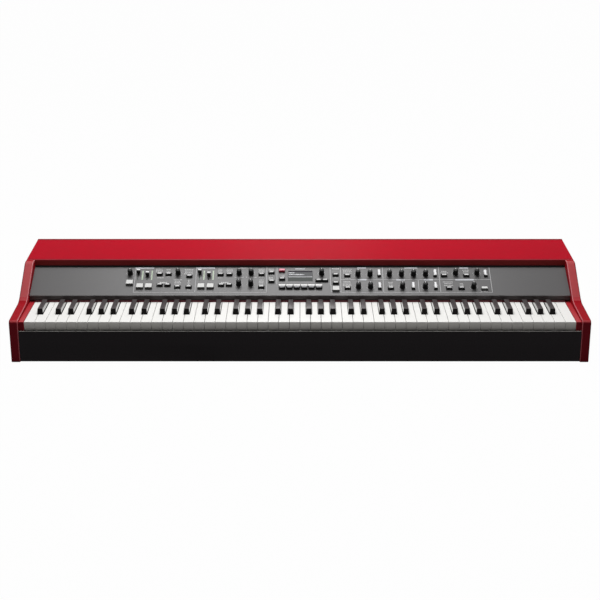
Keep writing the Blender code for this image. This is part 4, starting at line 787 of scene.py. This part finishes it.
# From X, to X, from S, to S, rows of strokes
PRINTED_WORDS = (
    (-341, -320, 77.4, 91, 3), (-316, -301, 77.4, 91, 2), (-334, -319, 57.4, 59.9, 1),
    (-312, -304, 60.3, 63, 1), (-327, -310, 40, 44.3, 1), (-295, -275, 36.5, 55.3, 4),
    (-274, -248, 70.6, 90, 4), (-262, -256, 35.2, 54.1, 4), (-262, -255, 17.7, 20, 1),
    (-288, -279, 17.7, 20, 1), (-194, -181, 77.4, 91, 3), (-173, -158, 77.4, 91, 3),
    (-191, -182, 57.4, 59.6, 1), (-184, -167, 40, 44.3, 1), (-140, -124, 89.9, 92.2, 1),
    (-153, -131, 59.2, 61.2, 1), (-126, -102, 59.2, 61.2, 1), (-98, -83, 77.4, 91, 3),
    (-96, -85, 60, 62.4, 1), (-97, -84, 36.2, 55, 4), (-94, -85, 18.1, 20.4, 1),
    (-74, -60, 82.1, 91, 2), (-72, -61, 66.6, 68.6, 1), (-75, -60, 53.4, 61.9, 2),
    (-46, -34, 61.6, 67.3, 2), (75, 93, 86.9, 91, 1), (79, 89, 57.2, 59.5, 1), (99, 123, 73.3, 91, 4),
    (106, 118, 55.6, 57.8, 1), (98, 121, 31.7, 49.1, 4), (106, 115, 14.4, 16.6, 1),
    (206, 217, 32.2, 47.2, 3), (330, 348, 74, 84.3, 2), (381, 398, 73.3, 88.1, 3),
    (332, 359, 31.9, 49.1, 3), (371, 381, 33, 41.8, 2), (419, 436, 12.5, 14.7, 1),
)
# From X, to X, from S, to S
LABEL_PLATES = (
    (182.4, 189.6, 71, 87), (182.4, 189.6, 29, 44), (313.6, 321.8, 71, 87), (260, 268, 29, 44.5),
    (312, 320, 29, 44.5), (431.4, 439.6, 71, 86),
)
DISPLAY_CENTRE = mm(0.8, 63.7)
DISPLAY_SIZE = mm(57.4, 33)


def panel_section():
    """Section of the panel as (Y, Z): lip, sloping face and flange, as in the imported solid."""
    y0, z0 = PANEL_ORIGIN.y, PANEL_ORIGIN.z
    angle = atan2(SLOPE.z, SLOPE.y)
    inner = (y0 + PANEL_SHEET * sin(angle), z0 - PANEL_SHEET * cos(angle))
    lip_y = y0 + LIP_SETBACK
    lip_back = lip_y + LIP_THICKNESS
    lip_high = inner[1] + (lip_y - inner[0]) * tan(angle)
    back_high = lip_high + LIP_THICKNESS * tan(angle)
    lip_low = PANEL_BOX[0].z
    top_y, top_z = LID[0].y, LID[0].z - GAP
    under = tan(angle / 2) * PANEL_SHEET
    lip = [(lip_y, lip_high), (lip_y, lip_low), (lip_back, lip_low), (lip_back, back_high)]
    flange = [(top_y + under, top_z - PANEL_SHEET), (top_y + PANEL_FLANGE, top_z - PANEL_SHEET)]
    return [(y0, z0), inner] + lip + flange + [(top_y + PANEL_FLANGE, top_z), (top_y, top_z)]


def panel_coordinates(point):
    """X and S of a point."""
    local = PANEL_MATRIX.inverted() @ Vector(point)
    return local.x, local.y


def panel_cuts():
    """The fader slots and the screen's window, as one form in the panel's frame."""
    form = bmesh.new()
    deep = (-3 * PANEL_SHEET, PANEL_SHEET)
    for name in FADERS:
        low, high = corners(name)
        x = panel_coordinates((low + high) / 2)[0]
        add_box(form, about(SLOT_WIDTH / 2, x), (SLOT_LOW, SLOT_LOW + SLOT_LENGTH), deep)
    window = [about(size / 2 + GAP, middle) for size, middle in zip(DISPLAY_SIZE, DISPLAY_CENTRE)]
    add_box(form, *window, deep)
    return form


def make_panel():
    form = prism(panel_section(), PANEL_BOX[0].x, PANEL_BOX[1].x)
    round_edges(form, 0.5 * MM, 2, radians(20))
    # Faces that turn sideways or down behind the front edge take the lip's painted shade; the sheet's lower
    # edge takes a painted highlight.
    for face in form.faces:
        inside = face_middle(face).y > PANEL_ORIGIN.y + MM
        # The sheet's lower edge takes the painted highlight.
        face.material_index = (1 if inside else 2) if face.normal.z < 0.1 else 0
    looks = [GREY, LIP_SHADE_AND_LIGHT, GREY_EDGE_HIGHLIGHT]
    panel = piece("panel_sheet", form, looks, replaces=("control_panel",))
    cuts = panel_cuts()
    bmesh.ops.transform(cuts, matrix=PANEL_MATRIX, verts=cuts.verts)
    bake_boolean(panel, add_object("panel_cuts", mesh_of("panel_cuts", cuts)))
    # A dark strip along the panel's top under the lid: painted shadow of the lid.
    along = (PANEL_EDGE - SHADOW_STRIP_WIDTH, PANEL_EDGE - GAP)
    strip = box_form((PANEL_BOX[0].x, PANEL_BOX[1].x), along, mm(0.02, 1.5))
    round_edges(strip, 0.2 * MM, 2)
    piece("lid_shadow_strip", strip, SHADOW_BLACK, place=PANEL_MATRIX)


def bake_boolean(thing, cutter):
    """Cuts one object with another for good, and removes the cutter."""
    cut = thing.modifiers.new("cut", "BOOLEAN")
    cut.object = cutter
    cut.operation = "DIFFERENCE"
    bpy.context.view_layer.update()
    graph = bpy.context.evaluated_depsgraph_get()
    mesh = bpy.data.meshes.new_from_object(thing.evaluated_get(graph))
    thing.modifiers.clear()
    thing.data = mesh
    smooth(thing)
    bpy.data.objects.remove(cutter)


def knob_form():
    """A fluted knob with a skirt, a domed top and a chamfer."""
    top, skirt, high = KNOB_TOP_RADIUS, KNOB_RADIUS, KNOB_HEIGHT
    profile = [(0, high), (top * 0.45, high), (top * 0.72, high - 0.15 * MM), (top * 0.88, high - 0.5 * MM)]
    profile += [(top * 0.96, high - 1.3 * MM), (top, high - 3 * MM), (skirt * 0.93, 3.2 * MM)]
    profile += [(skirt * 0.95, 2.6 * MM), (skirt, 2 * MM), (skirt, 0.7 * MM), (skirt - 0.5 * MM, 0.5 * MM)]
    profile += [mm(3, 0.5), mm(3, -1.5), (0, -1.5 * MM)]
    form = lathe(profile, 72, fluted=(4, 5, 6))
    across = about(0.55 * MM)
    add_box(form, across, (1.6 * MM, top * 0.9), (high - 1.2 * MM, high + 0.25 * MM), 1)
    add_box(form, across, (top * 0.6, top + 0.35 * MM), (3.4 * MM, high - 0.9 * MM), 1)
    return form


def make_knob(name, cap, x, s, body=CASE, replaces=()):
    """A knob, and eleven printed ticks round it from 150 degrees on one side to 150 on the other."""
    place = on_panel(x, s)
    piece(cap, knob_form(), [PLASTIC, PRINT_WHITE], body, replaces, place)
    form = bmesh.new()
    for index in range(11):
        made = add_box(form, about(0.5 * MM), mm(7.8, 9.8), (0, 0.12 * MM))
        turn = Matrix.Rotation(-radians(-150 + 30 * index), 4, "Z")
        bmesh.ops.transform(form, matrix=turn, verts=made)
    piece(name + "_scale", form, PRINT, place=on_panel(x, s, 0.02 * MM))


def make_knobs():
    for name in TURNING_KNOBS:
        x, s = panel_coordinates(JOINTS[name + "_turn"]["pos_m"])
        make_knob(name, name + "_cap", x, s, name, (name,))
    places = [mm(x, s) for s, xs in FIXED_KNOBS.items() for x in xs]
    for index, (x, s) in enumerate(places, 1):
        make_knob(f"knob_{index}", f"knob_{index}", x, s)


def button_form(size, low, shares, setback, split=False):
    """A wedge button: its top is narrower by the shares at its front and rear, and set back.

    Face indices: 0 body, 1 top, 2 the front half of a split top.
    """
    width, length = size
    form = box_form(about(width / 2), about(length / 2), (low, BUTTON_HEIGHT))
    cut_across(form, (0, 0, low + BUTTON_RIM), (0, 0, 1))
    if split:
        cut_across(form, (0, 0.08 * length, 0), (0, 1, 0))
    for vert in form.verts:
        if vert.co.z > BUTTON_HEIGHT - MM:
            share = vert.co.y / length + 0.5
            vert.co.x *= shares[0] + (shares[1] - shares[0]) * min(1, 1.7 * share)
            vert.co.z -= BUTTON_WEDGE * share
            vert.co.y += (1 - share) * setback - share * 0.5 * MM
    for face in form.faces:
        if face.normal.z > 0.7 and face_middle(face).z > low + BUTTON_RIM:
            face.material_index = 2 if split and face_middle(face).y < 0.08 * length else 1
    round_edges(form, 0.4 * MM, 2, radians(25))
    return form


def make_buttons():
    for kind, (size, shares, setback) in BUTTON_KINDS.items():
        looks, slot = [PLASTIC, BUTTON_TOP], "black_plastic"
        if kind in ("wide_button", "short_button"):
            # Pale buttons: a body of painted shade under the pale top.
            looks, slot = [PALE_FRONT_SHADE, PALE], "pale_button_plastic"
        places = [on_panel(*mm(x, s)) for s, xs in BUTTON_ROWS[kind].items() for x in xs]
        for index, place in enumerate(places, 1):
            form = button_form(mm(*size), 0.3 * MM, shares, setback * MM)
            piece(f"{kind}_{index}", form, looks, place=place)
    for name in PROGRAM_BUTTONS:
        form = button_form(PROGRAM_SIZE, BUTTON_LIFT, (0.62, 1), 1.6 * MM, True)
        moving_button(name, form, [PLASTIC, PALE_TOP, BUTTON_MID])
    # The red button's top takes the painted highlight.
    form = button_form(STORE_SIZE, BUTTON_LIFT, (0.9, 0.86), 1.6 * MM)
    moving_button("store_button", form, [STORE_BODY, STORE_TOP_HIGHLIGHT])


def moving_button(name, form, looks):
    add_box(form, about(2.5 * MM), about(1.5 * MM), mm(-2.4, 2))
    piece(name + "_cap", form, looks, name, (name,), on_panel(*control_middle(name)))


def control_middle(name):
    """X and S of a control, whose cap is even about its stem."""
    node = frame["nodes"][name]
    to_panel = PANEL_MATRIX.inverted() @ node.matrix_world
    local = [to_panel @ vert.co for vert in node.data.vertices]
    return [(min(p[axis] for p in local) + max(p[axis] for p in local)) / 2 for axis in (0, 1)]


def make_faders():
    for name in FADERS:
        x, s = control_middle(name)
        looks, place = [PLASTIC, PRINT_WHITE], on_panel(x + CAP_SHIFT, s)
        piece(name + "_cap", fader_form(), looks, name, (name,), place)
        make_lamp_column(name + "_lamps", x + LAMP_SHIFT)


def fader_form():
    """A fader cap: a body that narrows to its foot, with a pale line across the rear of its top."""
    top = 9.6 * MM
    form = box_form(about(4.9 * MM), about(4.4 * MM), (0.6 * MM, top))
    cut_across(form, (0, 0, 4 * MM), (0, 0, 1))
    for vert in form.verts:
        if vert.co.z < 2 * MM:
            vert.co.x *= 0.2
            vert.co.y *= 0.9
        elif vert.co.z > 8 * MM and vert.co.y < 0:
            vert.co.y += 1.6 * MM
            vert.co.z -= 0.4 * MM
    round_edges(form, 0.6 * MM, 3, radians(20))
    add_box(form, about(4 * MM), mm(0.2, 3.9), (top - 0.4 * MM, top + 0.12 * MM), 1)
    add_box(form, about(0.5 * MM, -CAP_SHIFT), about(2.5 * MM), mm(-2.4, 1.2))
    return form


def make_lamp_column(name, x):
    """A column of small green lamps in a dark window, beside a fader."""
    low, high = SLOT_LOW + MM, SLOT_LOW + SLOT_LENGTH - MM
    form = box_form(about(1.7 * MM), (low, high), mm(0.02, 0.25))
    pitch = (high - low) / LAMP_COUNT
    for index in range(LAMP_COUNT):
        base = low + pitch * index
        along = (base + 0.25 * pitch, base + 0.8 * pitch)
        add_box(form, about(1.3 * MM), along, mm(0.2, 0.6), 1)
    piece(name, form, [LAMP_DARK, LAMP], place=on_panel(x, 0))


def strokes(form, block, rows, dice):
    """Rows of short strokes that say nothing, filling a block of the panel."""
    left, right, low, high = mm(*block)
    pitch = (high - low) / rows
    for row in range(rows):
        base = low + pitch * row
        tall = min(2 * MM, 0.6 * pitch) if rows > 1 else high - low
        indent = dice.uniform(0, 0.16) * (right - left) if rows > 1 else 0
        start = left + indent
        while start < right - indent - MM:
            stop = min(start + dice.uniform(1.6, 4) * MM, right - indent)
            add_box(form, (start, stop), (base, base + tall), mm(0.02, 0.14))
            start = stop + dice.uniform(0.6, 1.1) * MM


def make_print():
    """Thin lines, title bars, word-like strokes and label plates, all printed on the panel."""
    lines, bars, words, plates = (bmesh.new() for _ in range(4))
    half_x, half_s = LINE_WIDTH / 2, LEVEL_LINE_WIDTH / 2
    for left, right, low, high in PRINTED_LINES:
        along = (low * MM - half_s, high * MM + half_s)
        add_box(lines, (left * MM - half_x, right * MM + half_x), along, mm(0.01, 0.11))
    for left, right, s, wide in TITLE_BARS:
        add_box(bars, mm(left, right), mm(s - wide / 2, s + wide / 2), mm(0.12, 0.2))
    dice = random.Random(5)
    for *block, rows in PRINTED_WORDS:
        strokes(words, block, rows, dice)
    for left, right, low, high in LABEL_PLATES:
        strokes(plates, (left, right, low, high), 5, dice)
        middle = (left + right) / 2
        add_box(plates, mm(middle - 2, middle + 2), mm(low, high), mm(0.03, 0.15))
    looks = (PRINT, PRINT_BAR, PRINT_WORD, PRINT_WHITE)
    names = ("printed_lines", "printed_bars", "printed_words", "label_plates")
    for name, form, look in zip(names, (lines, bars, words, plates), looks):
        piece(name, form, look, place=PANEL_MATRIX)


def make_display():
    """A screen window: glass, a darker header band and bars and strokes that say nothing."""
    place = on_panel(*DISPLAY_CENTRE)
    half_x, half_s = DISPLAY_SIZE[0] / 2, DISPLAY_SIZE[1] / 2
    glass = box_form(about(half_x), about(half_s), mm(-1.7, -0.2))
    round_edges(glass, 0.25 * MM, 2)
    across = about(half_x - 0.6 * MM)
    header = box_form(across, (half_s - 2.2 * MM, half_s + 1.8 * MM), mm(0.02, 0.12))
    band = box_form(across, (-half_s + 0.6 * MM, -3 * MM), mm(-0.21, -0.1))
    mark = mm(-0.2, -0.08)
    marks = box_form(across, mm(-2.4, -1.4), mark)
    dice = random.Random(11)
    for row, reach in ((half_s - 6 * MM, -15 * MM), (half_s - 12 * MM, 8 * MM)):
        left = -half_x + 1.5 * MM
        while left < reach:
            width, rise = dice.uniform(1.0, 1.9) * MM, dice.uniform(1.8, 3.2) * MM
            add_box(marks, (left, left + width), (row, row + rise), mark)
            left += width + 0.9 * MM
    piece("screen_window", glass, SCREEN, replaces=("display_window",), place=place)
    piece("screen_header", header, SCREEN_HEADER, place=place)
    piece("screen_band", band, SCREEN_BAND, place=place)
    piece("screen_strokes", marks, SCREEN_MARK, place=place)


# Back and underside

REAR_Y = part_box("rear_panel")[1][1]
CONNECTOR_Z = (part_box("power_inlet")[0][2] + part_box("power_inlet")[1][2]) / 2
OUTWARD = Matrix.Rotation(-pi / 2, 4, "X")
DOWN = Matrix.Rotation(pi, 4, "X")
JACKS = mm(*range(-400, 17, 52))
ROUND_SOCKETS = mm(74, 126)
DATA_SOCKET = 180 * MM
DATA_OPENING = mm(8.6, 8)
INLET_X = 510 * MM
INLET_FLOOR = -14 * MM
SWITCH_X = 560 * MM
SWITCH_TILT = radians(12.4)
SCREW_RADIUS = 3.2 * MM
# From X, to X, in millimetres
LABEL_LINES = ((-411, -285), (-255, -181), (-151, -25), (5, 27), (64, 136), (170, 190))


def on_back(x, z=0.0):
    """A place on the back: its own Z points out of the case and its Y down."""
    return Matrix.Translation((x, REAR_Y, CONNECTOR_Z + z)) @ OUTWARD


def ring(inner, outer, low, high, sides, edge=0.4 * MM):
    """A ring with a chamfered outer edge."""
    rows = [(inner, high), (outer - edge, high), (outer, high - edge), (outer, low), (inner, low)]
    return lathe(rows, sides, closed=True)


def metal_trim(name, form, x):
    piece(name, form, STEEL, place=on_back(x))


def make_jacks():
    """A washer and a six-sided nut round each jack."""
    for index, x in enumerate(JACKS, 1):
        metal_trim(f"jack_washer_{index}", ring(*mm(3.4, 6.9, 1.1, 2.3), 48), x)
        nut = ring(*mm(3.4, 5.8, 2.3, 3.7), 6)
        round_edges(nut, 0.25 * MM, 2)
        metal_trim(f"jack_nut_{index}", nut, x)


def make_round_sockets():
    """A metal rim round each socket, and an insert with five contacts."""
    rows = ((0, -3), (6.9, -3), (7.3, -3.4), (7.3, -8.8), (0, -8.8))
    for index, x in enumerate(ROUND_SOCKETS, 1):
        metal_trim(f"round_socket_rim_{index}", ring(*mm(7.6, 9.6, -2, 0.7), 64), x)
        insert = lathe([mm(*row) for row in rows], 48)
        for step in range(5):
            turn = pi * step / 4
            across, along = (about(0.6 * MM, 4.8 * MM * part) for part in (cos(turn), sin(turn)))
            add_box(insert, across, along, mm(-3.4, -2.2), 1)
        looks = [SOCKET, STEEL]
        piece(f"round_socket_insert_{index}", insert, looks, place=on_back(x))


def make_data_socket():
    """A thin metal shell round the opening, and the tongue inside it."""
    half_x, half_y = DATA_OPENING[0] / 2, DATA_OPENING[1] / 2
    wall, upright = 0.7 * MM, mm(0.02, 0.6)
    shell = bmesh.new()
    for side in (-1, 1):
        across = sorted((side * half_x, side * (half_x + wall)))
        add_box(shell, across, about(half_y + wall), upright)
        along = sorted((side * half_y, side * (half_y + wall)))
        add_box(shell, about(half_x), along, upright)
    metal_trim("data_socket_shell", shell, DATA_SOCKET)
    tongue = box_form(about(2.8 * MM), about(1.6 * MM), mm(-11.8, -1.5))
    round_edges(tongue, 0.3 * MM, 2)
    piece("data_socket_tongue", tongue, PALE, place=on_back(DATA_SOCKET))


def make_inlet_blades():
    """Bright sleeves over the inlet's three blades."""
    for index, (x, drop) in enumerate(((-7, 1), (0, -2), (7, 1)), 1):
        across, along = about(1.1 * MM, x * MM), about(2.1 * MM, drop * MM)
        sleeve = box_form(across, along, (INLET_FLOOR, -3.3 * MM))
        round_edges(sleeve, 0.4 * MM, 2)
        metal_trim(f"inlet_blade_{index}", sleeve, INLET_X)


def make_switch_marks():
    """A line and a ring printed on the halves of the rocker."""
    line = box_form(about(0.45 * MM), about(2 * MM), mm(-0.2, 0.12))
    circle = ring(*mm(1.4, 2.1, -0.2, 0.12), 40, 0.05 * MM)
    for name, form, side in (("line", line, 1), ("ring", circle, -1)):
        place = on_back(SWITCH_X, 5 * MM * side) @ Matrix.Translation((0, 0, 2.1 * MM))
        tilted = place @ Matrix.Rotation(-side * SWITCH_TILT, 4, "X")
        piece("switch_" + name, form, PRINT_WHITE, "power_switch", place=tilted)


def make_back_labels():
    """Lines and word-like strokes over the sockets."""
    labels = bmesh.new()
    dice = random.Random(17)
    for low, high in LABEL_LINES:
        add_box(labels, mm(low, high), mm(-22.4, -21.8), mm(0.02, 0.14))
    for x in JACKS + ROUND_SOCKETS + (DATA_SOCKET,):
        half = dice.uniform(6, 9)
        strokes(labels, (x / MM - half, x / MM + half, -19.2, -17.2), 1, dice)
    piece("back_labels", labels, PRINT, place=on_back(0))


def add_screw(name, spot, turn):
    """A dome-headed screw with a cross recess drawn as two dark slots: painted shade, not a cut recess."""
    radius, foot = SCREW_RADIUS, -0.5 * MM
    profile = [(0, 0.9 * MM), (radius * 0.5, 0.8 * MM), (radius * 0.85, 0.5 * MM)]
    form = lathe(profile + [(radius, 0), (radius, foot), (0, foot)], 28)
    arm, half = about(radius * 0.5), about(radius * 0.1)
    # The two slots are painted shade of the recess.
    for across, along in ((arm, half), (half, arm)):
        add_box(form, across, along, mm(0.5, 0.93), 1)
    piece(name, form, [DARK_METAL, SHADOW_BLACK], place=Matrix.Translation(spot) @ turn)


def make_screws():
    """Screws of the rear panel and of the bottom plate, in two rows each."""
    rear, floor = corners("rear_panel"), corners("bottom_plate")
    for index in range(14):
        share, far = index % 7 / 6, index > 6
        x = rear[0].x + 25 * MM + (rear[1].x - rear[0].x - 50 * MM) * share
        z = rear[1].z - 12 * MM if far else rear[0].z + 14 * MM
        add_screw(f"rear_screw_{index + 1}", (x, rear[1].y, z), OUTWARD)
        x = floor[0].x + 60 * MM + (floor[1].x - floor[0].x - 120 * MM) * share
        y = floor[1].y - 22 * MM if far else floor[0].y + 26 * MM
        add_screw(f"bottom_screw_{index + 1}", (x, y, floor[0].z), DOWN)


def dress_nodes():
    """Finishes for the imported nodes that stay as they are."""
    looks = (
        (BLACK_SHEET, ("bottom_plate", "rear_panel")),
        (ALUMINIUM, ("keybed_frame",)),
        (SOCKET, ("jack_plate", "power_inlet", "power_switch")),
        (BOARD, ("main_board", "panel_board", "power_supply", "contact_board")),
    )
    for look, names in looks:
        for name in names:
            mesh = frame["nodes"][name].data
            mesh.materials.clear()
            mesh.materials.append(look)
            mesh.shade_smooth()
            mesh.set_sharp_from_angle(angle=radians(30))


# Stage

CAMERA_HEIGHT = 1014.6 * MM
CAMERA_DISTANCE = 2760.9 * MM
CAMERA_PITCH = radians(19.227)
LENS_MM = 79.64
SENSOR_MM = 36
WORLD_LIGHT = 0.16
PAPER_GREY = 0.35
PAPER_WHITE = 0.985


def make_camera():
    data = bpy.data.cameras.new("camera")
    data.lens = LENS_MM
    data.sensor_width = SENSOR_MM
    data.clip_end = 50
    camera = add_object("camera", data)
    camera.location = (0, KEY_FRONT - CAMERA_DISTANCE, KEY_TOP + CAMERA_HEIGHT)
    camera.rotation_euler = (pi / 2 - CAMERA_PITCH, 0, 0)
    bpy.context.scene.camera = camera


def area_light(name, location, target, size, power):
    data = bpy.data.lights.new(name, "AREA")
    data.shape = "RECTANGLE"
    data.size, data.size_y = size
    data.energy = power
    lamp = add_object(name, data)
    lamp.location = location
    lamp.rotation_euler = (Vector(target) - Vector(location)).to_track_quat("-Z", "Y").to_euler()


def direct_rays(tree):
    """1 wherever a camera, glossy or transmission ray looks, and 0 for the light of the scene."""
    path = add_node(tree, "LightPath", {}).outputs
    found = path["Is Camera Ray"]
    for ray in ("Is Glossy Ray", "Is Transmission Ray"):
        found = add_node(tree, "Math", {0: found, 1: path[ray]}, "MAXIMUM").outputs[0]
    return found


def show_mix(tree, share, plain, white, output):
    """Sends a mix of two shaders to the output, with a share of the white one."""
    inputs = {0: share, 1: plain.outputs[0], 2: white.outputs[0]}
    mix = add_node(tree, "MixShader", inputs)
    add_node(tree, output, {"Surface": mix.outputs[0]})


def make_world():
    world = bpy.data.worlds.new("world")
    bpy.context.scene.world = world
    world.use_nodes = True
    tree = world.node_tree
    tree.nodes.clear()
    shaders = [
        add_node(tree, "Background", {"Color": (1, 1, 1, 1), "Strength": strength})
        for strength in (WORLD_LIGHT, 1)
    ]
    show_mix(tree, direct_rays(tree), *shaders, "OutputWorld")


def make_floor():
    form = bmesh.new()
    bmesh.ops.create_grid(form, x_segments=1, y_segments=1, size=12)
    floor = add_object("floor", mesh_of("floor", form))
    floor.location = (0, 0, LOW.z - 0.5 * MM)
    look = bpy.data.materials.new("floor_paper")
    look.use_nodes = True
    tree = look.node_tree
    tree.nodes.clear()
    paper = add_node(tree, "BsdfDiffuse", {"Color": (*[PAPER_GREY] * 3, 1)})
    white = add_node(tree, "Emission", {"Strength": 1})
    share = add_node(tree, "Math", {0: direct_rays(tree), 1: PAPER_WHITE}, "MULTIPLY")
    show_mix(tree, share.outputs[0], paper, white, "OutputMaterial")
    floor.data.materials.append(look)


def make_lights():
    area_light("overhead", (-0.08, 0.56, 2.3), (-0.08, 0.5, 0), (1.3, 1.5), 65)
    area_light("lid_light", (0, 0.9, 0.6), (0, 0.2, 0.17), (0.4, 0.3), 1.5)


make_camera()
make_world()
make_floor()
make_lights()
make_lid()
make_cheeks()
make_blocks()
make_slip()
make_feet()
make_keys()
make_felt()
make_panel()
make_print()
make_knobs()
make_faders()
make_buttons()
make_display()
make_jacks()
make_round_sockets()
make_data_socket()
make_inlet_blades()
make_switch_marks()
make_back_labels()
make_screws()
dress_nodes()
bpy.context.scene.view_settings.view_transform = "Standard"
